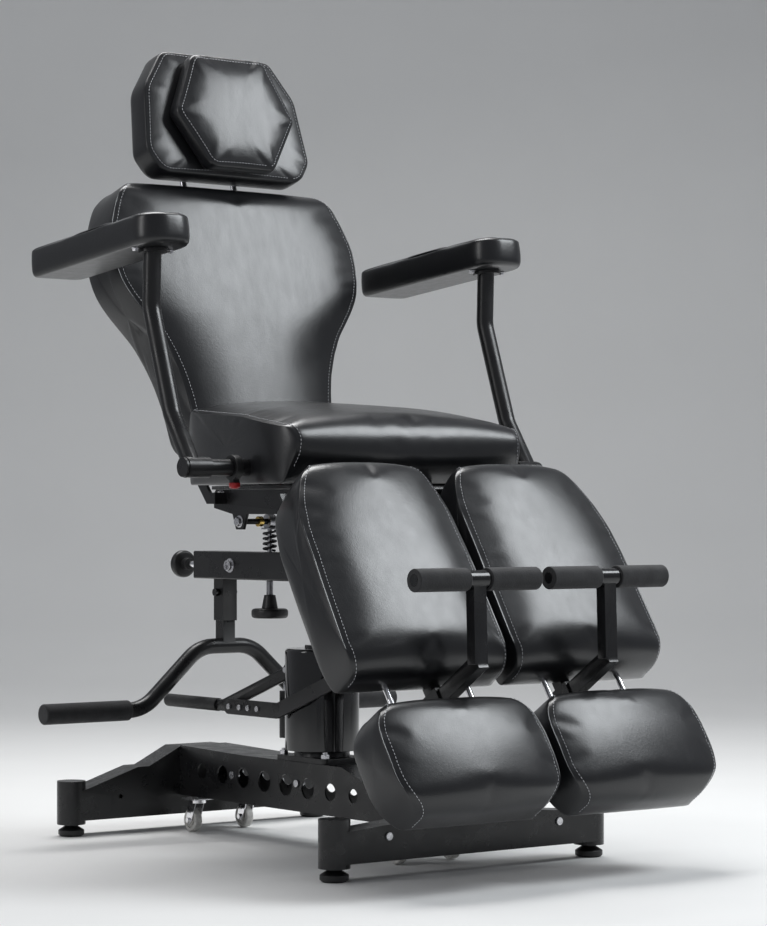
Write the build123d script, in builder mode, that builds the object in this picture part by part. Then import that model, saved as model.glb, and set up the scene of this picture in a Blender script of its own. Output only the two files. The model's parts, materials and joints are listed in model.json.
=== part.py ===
"""Tattoo chair on a foot-pumped column, as separate pieces in one shared frame.

Millimetres, +Z up, floor at z = 0. The sitter faces -Y, the sitter's left is +X. Right-hand pieces are
at -X. Sizes are laid out from the point on the floor under the column, and each piece is written with
its origin in the middle of the floor that the chair covers.
"""
import os
from math import cos, hypot, pi, radians, sin

from build123d import *

os.makedirs("parts", exist_ok=True)

RUN = 0.05          # radial clearance of a running fit
GAP = 0.3           # gap between a piece and the seat that carries it
SOFT_GAP = 2.0      # room left round a soft solid
SHEET = 3.0         # folded sheet and tube walls
OVERRUN = 20.0      # how far a cutting tool passes the face that it cuts
COLUMN_BEHIND = 110.0   # how far the column stands behind the middle of the floor that is covered
SIDES = (("right", -1), ("left", 1))
ENDS = (("front", -1), ("rear", 1))


def lean_plane(y, z, lean):
    """Plane of a leaning face: local x is +X, local y runs up the slope, the normal faces forward."""
    return Plane(origin=(0, y, z), x_dir=(1, 0, 0), z_dir=(0, -cos(radians(lean)), sin(radians(lean))))


def slope_point(y, z, lean, up, depth):
    """Point at a distance up a leaning face and a depth behind it, as (y, z)."""
    angle = radians(lean)
    return (y + up * sin(angle) + depth * cos(angle), z + up * cos(angle) - depth * sin(angle))


def write(piece, path):
    """Write a piece with its origin moved from under the column to the middle of the covered floor."""
    moved = piece.moved(Location((0, COLUMN_BEHIND, 0)))
    moved.label = piece.label
    export_step(moved, path)


def drawn_in(points, inset):
    """Outline points moved in from their bounding box by an inset on every side."""
    low_x = min(x for x, _ in points)
    low_y = min(y for _, y in points)
    width = max(x for x, _ in points) - low_x
    length = max(y for _, y in points) - low_y
    return [
        (
            low_x + inset + (x - low_x) * (width - 2 * inset) / width,
            low_y + inset + (y - low_y) * (length - 2 * inset) / length,
        )
        for x, y in points
    ]


# Base: a folded spine, two folded crossbars, four posts with levelling feet, and four casters.
BASE_HALF_WIDTH = 265.0
BASE_HALF_LENGTH = 392.0
POST_RADIUS = 25.4
POST_LOW = 21.0
POST_HIGH = 98.0
CROSSBAR_DEPTH = 50.0
CROSSBAR_LOW = 28.0
CROSSBAR_END_HIGH = 78.0
CROSSBAR_BEND_SHARES = {"front": ((0.59, 0.26), (0.26, 0.50)), "rear": ((0.53, 0.55), (0.44, 0.55))}
CROSSBAR_HIGH = {"front": 112.0, "rear": 150.0}
SPINE_HALF_WIDTH = 50.0
SPINE_LOW = 62.0
SPINE_HIGH = 147.0
SPINE_REAR_HIGH = 152.0
SPINE_FRONT_HIGH = 108.0
SPINE_KNEE_HIGH = 116.0
SPINE_KNEE_Y = -213.0
SPINE_FLAT_FRONT = -122.0
SPINE_FLAT_REAR = 170.0
HOLE_FIRST_Y = 296.0
HOLE_PITCH = 64.4
HOLE_RADIUS = 18.5
HOLE_SIZE_SHARES = (0.76, 0.86, 0.95, 1.0, 1.0, 0.97, 0.81, 0.65)
HOLE_Z = 110.0
HOLE_DROP = 1.3
FRAME_BOLT_HEAD = 6.5
FRAME_BOLT_RISE = 3.0
FRAME_BOLT_SHANK = 4.0
FRAME_BOLT_LENGTH = 14.0
SPINE_BOLT_Y = (200.0, 5.0)
CROSSBAR_BOLT_X = 177.0
CROSSBAR_BOLT_Z = 67.0

spine_end = BASE_HALF_LENGTH - CROSSBAR_DEPTH / 2
spine_profile = [
    (-spine_end, SPINE_LOW),
    (-spine_end, SPINE_FRONT_HIGH),
    (SPINE_KNEE_Y, SPINE_KNEE_HIGH),
    (SPINE_FLAT_FRONT, SPINE_HIGH),
    (SPINE_FLAT_REAR, SPINE_HIGH),
    (spine_end, SPINE_REAR_HIGH),
    (spine_end, SPINE_LOW),
]
spine_inner = [
    (y, z - SHEET if z > SPINE_LOW else z - OVERRUN) for y, z in spine_profile
]
PUMP_PLATE_HALF_X = 48.0
PUMP_PLATE_HALF_Y = 72.0
STUD_X = 38.0
STUD_Y = 60.0
STUD_RADIUS = 4.0
STUD_NUT = 8.0
STUD_NUT_HEIGHT = 7.0
STUD_TOP = 4.0
PUMP_PLATE = 9.0

with BuildPart() as base_spine:
    with BuildSketch(Plane.YZ.offset(-SPINE_HALF_WIDTH)):
        with BuildLine():
            Polyline(*spine_profile, close=True)
        make_face()
    extrude(amount=2 * SPINE_HALF_WIDTH)
    with BuildSketch(Plane.YZ.offset(-SPINE_HALF_WIDTH + SHEET)):
        with BuildLine():
            Polyline(*spine_inner, close=True)
        make_face()
    extrude(amount=2 * (SPINE_HALF_WIDTH - SHEET), mode=Mode.SUBTRACT)
    with BuildSketch(Plane.YZ.offset(-SPINE_HALF_WIDTH - OVERRUN)):
        for index, share in enumerate(HOLE_SIZE_SHARES):
            with Locations((HOLE_FIRST_Y - index * HOLE_PITCH, HOLE_Z - index * HOLE_DROP)):
                Circle(HOLE_RADIUS * share)
        with Locations(*[(y, HOLE_Z) for y in SPINE_BOLT_Y]):
            Circle(FRAME_BOLT_SHANK + RUN)
    extrude(amount=2 * (SPINE_HALF_WIDTH + OVERRUN), mode=Mode.SUBTRACT)
    with BuildSketch(Plane.XY.offset(SPINE_HIGH + OVERRUN)):
        with GridLocations(2 * STUD_X, 2 * STUD_Y, 2, 2):
            Circle(STUD_RADIUS + RUN)
    extrude(amount=-2 * OVERRUN, mode=Mode.SUBTRACT)
base_spine.part.label = "base_spine"
write(base_spine.part, "parts/base_spine.step")

FOOT_STEM_RADIUS = 6.0
FOOT_DISC_RADIUS = 23.0
FOOT_NECK_RADIUS = 12.0
FOOT_DISC_LOW = 3.0
FOOT_DISC_HIGH = 11.0
FOOT_BASE_SHARE = 0.78
FOOT_STEM_HIGH = 55.0

for end_name, end in ENDS:
    top = CROSSBAR_HIGH[end_name]
    rise = top - CROSSBAR_END_HIGH
    half = [
        (BASE_HALF_WIDTH, CROSSBAR_LOW),
        (BASE_HALF_WIDTH, CROSSBAR_END_HIGH),
        *[(BASE_HALF_WIDTH * x, CROSSBAR_END_HIGH + rise * z) for x, z in CROSSBAR_BEND_SHARES[end_name]],
        (SPINE_HALF_WIDTH, top),
    ]
    outline = half + [(-x, z) for x, z in reversed(half)]
    inner = [(x, z - SHEET if z > CROSSBAR_LOW else z - OVERRUN) for x, z in outline]
    y_mid = end * BASE_HALF_LENGTH
    bolt_face = y_mid + end * CROSSBAR_DEPTH / 2
    with BuildPart() as crossbar:
        with BuildSketch(Plane.XZ.offset(-y_mid - CROSSBAR_DEPTH / 2)):
            with BuildLine():
                Polyline(*outline, close=True)
            make_face()
        extrude(amount=CROSSBAR_DEPTH)
        with BuildSketch(Plane.XZ.offset(-y_mid - CROSSBAR_DEPTH / 2 + SHEET)):
            with BuildLine():
                Polyline(*inner, close=True)
            make_face()
        extrude(amount=CROSSBAR_DEPTH - 2 * SHEET, mode=Mode.SUBTRACT)
        with BuildSketch(Plane.XY.offset(POST_LOW)):
            with Locations((-BASE_HALF_WIDTH, y_mid), (BASE_HALF_WIDTH, y_mid)):
                Circle(POST_RADIUS)
        extrude(amount=POST_HIGH - POST_LOW)
        with BuildSketch(Plane.XY.offset(POST_LOW)):
            with Locations((-BASE_HALF_WIDTH, y_mid), (BASE_HALF_WIDTH, y_mid)):
                Circle(FOOT_STEM_RADIUS + RUN)
        extrude(amount=FOOT_STEM_HIGH + SHEET - POST_LOW, mode=Mode.SUBTRACT)
        with BuildSketch(Plane.XZ.offset(-y_mid - CROSSBAR_DEPTH)):
            with Locations((-CROSSBAR_BOLT_X, CROSSBAR_BOLT_Z), (CROSSBAR_BOLT_X, CROSSBAR_BOLT_Z)):
                Circle(FRAME_BOLT_SHANK + RUN)
        extrude(amount=2 * CROSSBAR_DEPTH, mode=Mode.SUBTRACT)
    crossbar.part.label = f"{end_name}_crossbar"
    write(crossbar.part, f"parts/{end_name}_crossbar.step")


foot_profile = [
    (0, 0),
    (FOOT_DISC_RADIUS * FOOT_BASE_SHARE, 0),
    (FOOT_DISC_RADIUS, FOOT_DISC_LOW),
    (FOOT_DISC_RADIUS, FOOT_DISC_HIGH),
    (FOOT_NECK_RADIUS, POST_LOW - SHEET),
    (FOOT_NECK_RADIUS, POST_LOW - GAP),
    (FOOT_STEM_RADIUS, POST_LOW - GAP),
    (FOOT_STEM_RADIUS, FOOT_STEM_HIGH),
    (0, FOOT_STEM_HIGH),
]
with BuildPart() as levelling_feet:
    for side in (-1, 1):
        for end in (-1, 1):
            centre = (side * BASE_HALF_WIDTH, end * BASE_HALF_LENGTH, 0)
            with BuildSketch(Plane(origin=centre, x_dir=(1, 0, 0), z_dir=(0, -1, 0))):
                with BuildLine():
                    Polyline(*foot_profile, close=True)
                make_face()
            revolve(axis=Axis(centre, (0, 0, 1)))
levelling_feet.part.label = "levelling_feet"
write(levelling_feet.part, "parts/levelling_feet.step")

with BuildPart() as frame_bolts:
    for side in (-1, 1):
        with BuildSketch(Plane.YZ.offset(side * SPINE_HALF_WIDTH)):
            with Locations(*[(y, HOLE_Z) for y in SPINE_BOLT_Y]):
                Circle(FRAME_BOLT_HEAD)
        extrude(amount=side * FRAME_BOLT_RISE)
        with BuildSketch(Plane.YZ.offset(side * SPINE_HALF_WIDTH)):
            with Locations(*[(y, HOLE_Z) for y in SPINE_BOLT_Y]):
                Circle(FRAME_BOLT_SHANK)
        extrude(amount=-side * FRAME_BOLT_LENGTH)
        face = side * (BASE_HALF_LENGTH + CROSSBAR_DEPTH / 2)
        with BuildSketch(Plane.XZ.offset(-face)):
            with Locations((-CROSSBAR_BOLT_X, CROSSBAR_BOLT_Z), (CROSSBAR_BOLT_X, CROSSBAR_BOLT_Z)):
                Circle(FRAME_BOLT_HEAD)
        extrude(amount=-side * FRAME_BOLT_RISE)
        with BuildSketch(Plane.XZ.offset(-face)):
            with Locations((-CROSSBAR_BOLT_X, CROSSBAR_BOLT_Z), (CROSSBAR_BOLT_X, CROSSBAR_BOLT_Z)):
                Circle(FRAME_BOLT_SHANK)
        extrude(amount=side * FRAME_BOLT_LENGTH)
    with BuildSketch(Plane.XY.offset(SPINE_HIGH - 2 * SHEET)):
        with GridLocations(2 * STUD_X, 2 * STUD_Y, 2, 2):
            Circle(STUD_RADIUS)
    extrude(amount=2 * SHEET + PUMP_PLATE + STUD_NUT_HEIGHT + STUD_TOP)
    with BuildSketch(Plane.XY.offset(SPINE_HIGH + PUMP_PLATE)):
        with GridLocations(2 * STUD_X, 2 * STUD_Y, 2, 2):
            RegularPolygon(STUD_NUT, 6)
    extrude(amount=STUD_NUT_HEIGHT)
frame_bolts.part.label = "frame_fasteners"
write(frame_bolts.part, "parts/frame_fasteners.step")

# Casters: a plate under the spine, a swivelling fork with its axle bolt, and a wheel.
CASTER_X = 56.0
CASTER_SET_BACK = 92.0
CASTER_Y = BASE_HALF_LENGTH - CASTER_SET_BACK
CASTER_TRAIL = 16.0
WHEEL_RADIUS = 20.0
WHEEL_WIDTH = 15.0
WHEEL_CLEAR = 1.0
CASTER_PLATE = 2.5
CASTER_PLATE_HALF = 22.0
KINGPIN_RADIUS = 4.0
FORK_TOP_RADIUS = 15.0
FORK_TOP = 6.0
FORK_CHEEK = 2.0
FORK_CHEEK_HALF = 9.0
AXLE_RADIUS = 3.0
AXLE_HEAD = 5.0
AXLE_HEAD_RISE = 3.5
HUB_RADIUS = 9.0
axle_z = WHEEL_RADIUS + WHEEL_CLEAR
fork_high = SPINE_LOW - CASTER_PLATE - GAP
cheek_inner = WHEEL_WIDTH / 2 + GAP

with BuildPart() as caster_plates:
    with BuildSketch(Plane.XY.offset(SPINE_LOW - CASTER_PLATE)):
        with GridLocations(2 * CASTER_X, 2 * CASTER_Y, 2, 2):
            RectangleRounded(2 * CASTER_PLATE_HALF, 2 * CASTER_PLATE_HALF, SHEET)
    extrude(amount=CASTER_PLATE)
    with BuildSketch(Plane.XY.offset(SPINE_LOW - CASTER_PLATE)):
        with GridLocations(2 * CASTER_X, 2 * CASTER_Y, 2, 2):
            Circle(KINGPIN_RADIUS + RUN)
    extrude(amount=CASTER_PLATE, mode=Mode.SUBTRACT)
caster_plates.part.label = "caster_plates"
write(caster_plates.part, "parts/caster_plates.step")

for end_name, end in ENDS:
    for side_name, side in SIDES:
        pin = (side * CASTER_X, end * CASTER_Y)
        axle_y = pin[1] + CASTER_TRAIL
        with BuildPart() as fork:
            with BuildSketch(Plane.XY.offset(fork_high - FORK_TOP)):
                with Locations(pin):
                    Circle(FORK_TOP_RADIUS)
            extrude(amount=FORK_TOP)
            with BuildSketch(Plane.XY.offset(fork_high)):
                with Locations(pin):
                    Circle(KINGPIN_RADIUS)
            extrude(amount=CASTER_PLATE + 2 * GAP)
            for flank in (-1, 1):
                inner_x = pin[0] + flank * cheek_inner
                with BuildSketch(Plane.YZ.offset(inner_x)):
                    with BuildLine():
                        Polyline(
                            (pin[1] - FORK_CHEEK_HALF, fork_high),
                            (pin[1] + FORK_TOP_RADIUS, fork_high),
                            (axle_y + FORK_CHEEK_HALF, axle_z),
                            (axle_y, axle_z - FORK_CHEEK_HALF),
                            (axle_y - FORK_CHEEK_HALF, axle_z),
                            close=True,
                        )
                    make_face()
                extrude(amount=flank * FORK_CHEEK)
            half_axle = cheek_inner + FORK_CHEEK
            with BuildSketch(Plane.YZ.offset(pin[0] - half_axle)):
                with Locations((axle_y, axle_z)):
                    Circle(AXLE_RADIUS)
            extrude(amount=2 * half_axle)
            for flank in (-1, 1):
                with BuildSketch(Plane.YZ.offset(pin[0] + flank * half_axle)):
                    with Locations((axle_y, axle_z)):
                        RegularPolygon(AXLE_HEAD, 6)
                extrude(amount=flank * AXLE_HEAD_RISE)
            with BuildSketch(Plane.YZ.offset(pin[0] - cheek_inner)):
                with Locations((axle_y, axle_z)):
                    Circle(WHEEL_RADIUS + 2 * GAP)
                    Circle(AXLE_RADIUS, mode=Mode.SUBTRACT)
            extrude(amount=2 * cheek_inner, mode=Mode.SUBTRACT)
        name = f"caster_fork_{end_name}_{side_name}"
        fork.part.label = name
        write(fork.part, f"parts/{name}.step")

        with BuildPart() as wheel:
            with BuildSketch(Plane.YZ.offset(pin[0] - WHEEL_WIDTH / 2)):
                with Locations((axle_y, axle_z)):
                    Circle(WHEEL_RADIUS)
                    Circle(AXLE_RADIUS + RUN, mode=Mode.SUBTRACT)
            extrude(amount=WHEEL_WIDTH)
            fillet(wheel.edges().filter_by(GeomType.CIRCLE).group_by(SortBy.RADIUS)[-1], SHEET)
            for flank in (-1, 1):
                with BuildSketch(Plane.YZ.offset(pin[0] + flank * WHEEL_WIDTH / 2)):
                    with Locations((axle_y, axle_z)):
                        Circle(WHEEL_RADIUS - 2 * SHEET)
                        Circle(HUB_RADIUS, mode=Mode.SUBTRACT)
                extrude(amount=-flank * SHEET, mode=Mode.SUBTRACT)
        name = f"caster_wheel_{end_name}_{side_name}"
        wheel.part.label = name
        write(wheel.part, f"parts/{name}.step")

# Pump: plate, housing, inner cylinder, gland, piston, plunger and its barrel, release valve.
HOUSING_RADIUS = 64.0
HOUSING_LOW = 166.0
HOUSING_HIGH = 341.0
PISTON_RADIUS = 17.5
CYLINDER_WALL = 6.0
GLAND_RADIUS = 30.0
GLAND_RISE = 6.0
PISTON_LOW = 230.0
BEAM_LOW = 455.0
BEAM_SIZE = 50.0
SOCKET_RADIUS = 32.0
SOCKET_HEIGHT = 34.0
plate_high = SPINE_HIGH + PUMP_PLATE
piston_high = BEAM_LOW - GAP
cylinder_radius = PISTON_RADIUS + RUN + CYLINDER_WALL
housing_roof = HOUSING_HIGH - 2 * SHEET

with BuildPart() as pump_plate:
    with BuildSketch(Plane.XY.offset(SPINE_HIGH)):
        RectangleRounded(2 * PUMP_PLATE_HALF_X, 2 * PUMP_PLATE_HALF_Y, PUMP_PLATE)
        with GridLocations(2 * STUD_X, 2 * STUD_Y, 2, 2):
            Circle(STUD_RADIUS + RUN, mode=Mode.SUBTRACT)
    extrude(amount=PUMP_PLATE)
    with BuildSketch(Plane.XY.offset(plate_high)):
        Circle(PUMP_PLATE_HALF_X)
    extrude(amount=HOUSING_LOW - plate_high)
    with BuildSketch(Plane.XY.offset(HOUSING_LOW)):
        Circle(cylinder_radius)
        Circle(PISTON_RADIUS + RUN, mode=Mode.SUBTRACT)
    extrude(amount=housing_roof - HOUSING_LOW)
pump_plate.part.label = "pump_cylinder"
write(pump_plate.part, "parts/pump_cylinder.step")

with BuildPart() as pump_housing:
    with BuildSketch(Plane.XY.offset(HOUSING_LOW + GAP)):
        Circle(HOUSING_RADIUS)
    extrude(amount=HOUSING_HIGH - HOUSING_LOW - GAP)
    fillet(pump_housing.edges().group_by(Axis.Z)[-1], 2 * SHEET)
    with BuildSketch(Plane.XY.offset(HOUSING_LOW)):
        Circle(HOUSING_RADIUS - SHEET)
    extrude(amount=housing_roof + SHEET - HOUSING_LOW, mode=Mode.SUBTRACT)
    with BuildSketch(Plane.XY.offset(HOUSING_HIGH)):
        Circle(GLAND_RADIUS)
    extrude(amount=GLAND_RISE)
    with BuildSketch(Plane.XY.offset(HOUSING_LOW)):
        Circle(PISTON_RADIUS + RUN)
    extrude(amount=BEAM_LOW, mode=Mode.SUBTRACT)
pump_housing.part.label = "pump_housing"
write(pump_housing.part, "parts/pump_housing.step")

with BuildPart() as lift_piston:
    with BuildSketch(Plane.XY.offset(PISTON_LOW)):
        Circle(PISTON_RADIUS)
    extrude(amount=piston_high - PISTON_LOW)
    chamfer(lift_piston.edges().group_by(Axis.Z)[0], SHEET / 2)
lift_piston.part.label = "lift_piston"
write(lift_piston.part, "parts/lift_piston.step")

LEVER_Y = 84.0
LEVER_Z = 300.0
LEVER_PIN = 5.0
LEVER_HUB = 12.0
LEVER_HUB_HALF = 12.0
EAR_THICK = 5.0
EAR_REACH = 12.0
PLUNGER_Y = 106.0
PLUNGER_RADIUS = 5.0
BARREL_RADIUS = 12.0
BARREL_LOW = 180.0
BARREL_HIGH = 262.0
PLUNGER_TOP = 277.0
PLUNGER_LOW = 215.0
ear_inner = LEVER_HUB_HALF + GAP

with BuildPart() as lever_bracket:
    for side in (-1, 1):
        with BuildSketch(Plane.YZ.offset(side * ear_inner)):
            with BuildLine():
                Polyline(
                    (0, LEVER_Z - 2 * EAR_REACH),
                    (LEVER_Y, LEVER_Z - EAR_REACH),
                    (LEVER_Y + EAR_REACH, LEVER_Z),
                    (LEVER_Y, LEVER_Z + EAR_REACH),
                    (0, LEVER_Z + EAR_REACH),
                    close=True,
                )
            make_face()
        extrude(amount=side * EAR_THICK)
    with BuildSketch(Plane.XY.offset(BARREL_LOW)):
        Rectangle(2 * (ear_inner + EAR_THICK), 2 * (HOUSING_RADIUS + 2 * SHEET))
        Rectangle(2 * (ear_inner + EAR_THICK), 2 * HOUSING_RADIUS, align=(Align.CENTER, Align.MAX),
                  mode=Mode.SUBTRACT)
    extrude(amount=LEVER_Z + EAR_REACH - BARREL_LOW)
    with BuildSketch(Plane.XY.offset(BARREL_LOW)):
        with Locations((0, PLUNGER_Y)):
            Circle(BARREL_RADIUS)
        with Locations((0, PLUNGER_Y / 2)):
            Rectangle(BARREL_RADIUS, PLUNGER_Y)
    extrude(amount=BARREL_HIGH - BARREL_LOW)
    with BuildSketch(Plane.XY.offset(PLUNGER_LOW - SHEET)):
        with Locations((0, PLUNGER_Y)):
            Circle(PLUNGER_RADIUS + RUN)
    extrude(amount=BARREL_HIGH - PLUNGER_LOW + OVERRUN, mode=Mode.SUBTRACT)
    with BuildSketch(Plane.YZ.offset(-2 * LEVER_HUB_HALF)):
        with Locations((LEVER_Y, LEVER_Z)):
            Circle(LEVER_PIN + RUN)
    extrude(amount=4 * LEVER_HUB_HALF, mode=Mode.SUBTRACT)
    with BuildSketch(Plane.XY.offset(BARREL_LOW - OVERRUN)):
        Circle(HOUSING_RADIUS + GAP)
    extrude(amount=HOUSING_HIGH, mode=Mode.SUBTRACT)
lever_bracket.part.label = "lever_bracket"
write(lever_bracket.part, "parts/lever_bracket.step")

with BuildPart() as pump_plunger:
    with BuildSketch(Plane.XY.offset(PLUNGER_LOW + 2 * SHEET)):
        with Locations((0, PLUNGER_Y)):
            Circle(PLUNGER_RADIUS)
    extrude(amount=PLUNGER_TOP - PLUNGER_LOW - 2 * SHEET)
    fillet(pump_plunger.edges().group_by(Axis.Z)[-1], PLUNGER_RADIUS / 2)
pump_plunger.part.label = "pump_plunger"
write(pump_plunger.part, "parts/pump_plunger.step")

# Pedal: a lever with a rear foot sleeve, and a bolted bar that brings a second sleeve forward.
PEDAL_X = -62.0
PEDAL_THICK = 12.0
PEDAL_Z = 234.0
LOWER_BAR_FRONT = 82.0
LOWER_BAR_REAR = 222.0
LOWER_BAR_HEIGHT = 20.0
ARM_WIDTH = 11.0
ARM_HEIGHT = 22.0
ARM_END_Y = 205.0
SLEEVE_ROD = 7.0
SLEEVE_RADIUS = 11.5
SLEEVE_FRONT = 224.0
SLEEVE_REAR = 386.0
FRONT_BAR_THICK = 6.0
FRONT_BAR_HEIGHT = 27.0
FRONT_BAR_REAR = 192.0
FRONT_BAR_BEND = 32.0
FRONT_BAR_TIP = -205.0
FRONT_BAR_SLOPE = 19.8
FRONT_SLEEVE_END = -290.0
PEDAL_BOLT_Y = (174.5, 142.0, 116.0, 88.0)
PEDAL_BOLT_HEAD = 5.0
PEDAL_BOLT_SHANK = 3.0
PEDAL_BOLT_RISE = 3.5
bar_inner = PEDAL_X - PEDAL_THICK / 2
tip_rise = (FRONT_BAR_BEND - FRONT_BAR_TIP) * sin(radians(FRONT_BAR_SLOPE)) / cos(radians(FRONT_BAR_SLOPE))
front_sleeve_z = PEDAL_Z + tip_rise
arm_start = (0, LEVER_Y, LEVER_Z)
arm_end = (PEDAL_X, ARM_END_Y, PEDAL_Z)
arm_vector = tuple(b - a for a, b in zip(arm_start, arm_end))
arm_length = hypot(*arm_vector)
arm_across = (arm_vector[1], -arm_vector[0], 0)

with BuildPart() as pump_lever:
    with BuildSketch(Plane.YZ.offset(-LEVER_HUB_HALF)):
        with Locations((LEVER_Y, LEVER_Z)):
            Circle(LEVER_HUB)
    extrude(amount=2 * LEVER_HUB_HALF)
    with BuildSketch(Plane(origin=arm_start, x_dir=arm_across, z_dir=arm_vector)):
        RectangleRounded(ARM_WIDTH, ARM_HEIGHT, SHEET)
    extrude(amount=arm_length)
    with BuildSketch(Plane.XZ.offset(-LOWER_BAR_FRONT)):
        with Locations((PEDAL_X, PEDAL_Z)):
            RectangleRounded(PEDAL_THICK, LOWER_BAR_HEIGHT, SHEET)
    extrude(amount=LOWER_BAR_FRONT - LOWER_BAR_REAR)
    with BuildSketch(Plane.XZ.offset(-LOWER_BAR_REAR + SHEET)):
        with Locations((PEDAL_X, PEDAL_Z)):
            Circle(SLEEVE_ROD)
    extrude(amount=LOWER_BAR_REAR - SLEEVE_REAR)
    with BuildSketch(Plane.YZ.offset(-2 * LEVER_HUB_HALF)):
        with Locations((LEVER_Y, LEVER_Z)):
            Circle(LEVER_PIN + RUN)
    extrude(amount=4 * LEVER_HUB_HALF, mode=Mode.SUBTRACT)
    with BuildSketch(Plane.YZ.offset(bar_inner - OVERRUN)):
        with Locations(*[(y, PEDAL_Z) for y in PEDAL_BOLT_Y]):
            Circle(PEDAL_BOLT_SHANK + RUN)
    extrude(amount=PEDAL_THICK + 2 * OVERRUN, mode=Mode.SUBTRACT)
pump_lever.part.label = "pump_lever"
write(pump_lever.part, "parts/pump_lever.step")

front_bar_path = [
    (FRONT_BAR_REAR - FRONT_BAR_HEIGHT / 2, PEDAL_Z - FRONT_BAR_HEIGHT / 2),
    (FRONT_BAR_BEND, PEDAL_Z - FRONT_BAR_HEIGHT / 2),
    (FRONT_BAR_TIP, front_sleeve_z - FRONT_BAR_HEIGHT / 2),
    (FRONT_BAR_TIP, front_sleeve_z + FRONT_BAR_HEIGHT / 2),
    (FRONT_BAR_BEND, PEDAL_Z + FRONT_BAR_HEIGHT / 2),
    (FRONT_BAR_REAR - FRONT_BAR_HEIGHT / 2, PEDAL_Z + FRONT_BAR_HEIGHT / 2),
]
with BuildPart() as front_pedal_bar:
    with BuildSketch(Plane.YZ.offset(bar_inner - FRONT_BAR_THICK)):
        with BuildLine():
            Polyline(*front_bar_path, close=True)
        make_face()
        with Locations((FRONT_BAR_REAR - FRONT_BAR_HEIGHT / 2, PEDAL_Z)):
            Circle(FRONT_BAR_HEIGHT / 2)
        with Locations(*[(y, PEDAL_Z) for y in PEDAL_BOLT_Y]):
            Circle(PEDAL_BOLT_SHANK + RUN, mode=Mode.SUBTRACT)
    extrude(amount=FRONT_BAR_THICK)
    with BuildSketch(Plane.XZ.offset(-FRONT_BAR_TIP - OVERRUN)):
        with Locations((PEDAL_X, front_sleeve_z)):
            Circle(SLEEVE_ROD)
    extrude(amount=FRONT_BAR_TIP - FRONT_SLEEVE_END + OVERRUN)
front_pedal_bar.part.label = "front_pedal_bar"
write(front_pedal_bar.part, "parts/front_pedal_bar.step")

with BuildPart() as pedal_sleeves:
    for start, end, height in (
        (SLEEVE_FRONT, SLEEVE_REAR, PEDAL_Z),
        (FRONT_SLEEVE_END, FRONT_BAR_TIP - GAP, front_sleeve_z),
    ):
        with BuildSketch(Plane.XZ.offset(-end)):
            with Locations((PEDAL_X, height)):
                Circle(SLEEVE_RADIUS)
                Circle(SLEEVE_ROD + RUN, mode=Mode.SUBTRACT)
        extrude(amount=end - start)
pedal_sleeves.part.label = "pedal_sleeves"
write(pedal_sleeves.part, "parts/pedal_sleeves.step")

with BuildPart() as pedal_bolts:
    with BuildSketch(Plane.YZ.offset(bar_inner - FRONT_BAR_THICK)):
        with Locations(*[(y, PEDAL_Z) for y in PEDAL_BOLT_Y]):
            Circle(PEDAL_BOLT_HEAD)
    extrude(amount=-PEDAL_BOLT_RISE)
    with BuildSketch(Plane.YZ.offset(bar_inner - FRONT_BAR_THICK)):
        with Locations(*[(y, PEDAL_Z) for y in PEDAL_BOLT_Y]):
            Circle(PEDAL_BOLT_SHANK)
    extrude(amount=FRONT_BAR_THICK + PEDAL_THICK)
    with BuildSketch(Plane.YZ.offset(-ear_inner - EAR_THICK - SHEET)):
        with Locations((LEVER_Y, LEVER_Z)):
            Circle(LEVER_PIN)
    extrude(amount=2 * (ear_inner + EAR_THICK + SHEET))
pedal_bolts.part.label = "pedal_fasteners"
write(pedal_bolts.part, "parts/pedal_fasteners.step")

# Beam: a square tube on the piston's socket, with tilt lugs, a hanger tube and an end knob.
BEAM_FRONT = -150.0
BEAM_REAR = 361.0
TILT_Y = -120.0
TILT_Z = 560.0
TILT_PIN = 7.0
LUG_THICK = 6.0
LUG_HALF = 18.0
HANGER_Y = 295.0
HANGER_SIZE = 30.0
HANGER_LOW = 380.0
INNER_SIZE = 25.0
INNER_TOP = 492.0
ARCH_Z = 334.0
ARCH_RADIUS = 14.0
ROD_Y = 156.0
ROD_RADIUS = 4.0
EYE_Z = 559.0
PLATE_X = 60.0
PLATE_THICK = 5.0
LOCK_PIN_Z = 431.0
LOCK_PIN_RADIUS = 4.0
END_STEM = 6.0
BEAM_BOLT_Y = 243.0
BEAM_BOLT_HEAD = 9.0
BEAM_BOLT_RISE = 4.0
BEAM_BOLT_SHANK = 5.0
beam_high = BEAM_LOW + BEAM_SIZE
beam_mid = BEAM_LOW + BEAM_SIZE / 2
hanger_wall = (HANGER_SIZE - INNER_SIZE) / 2 - 2 * RUN

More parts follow.
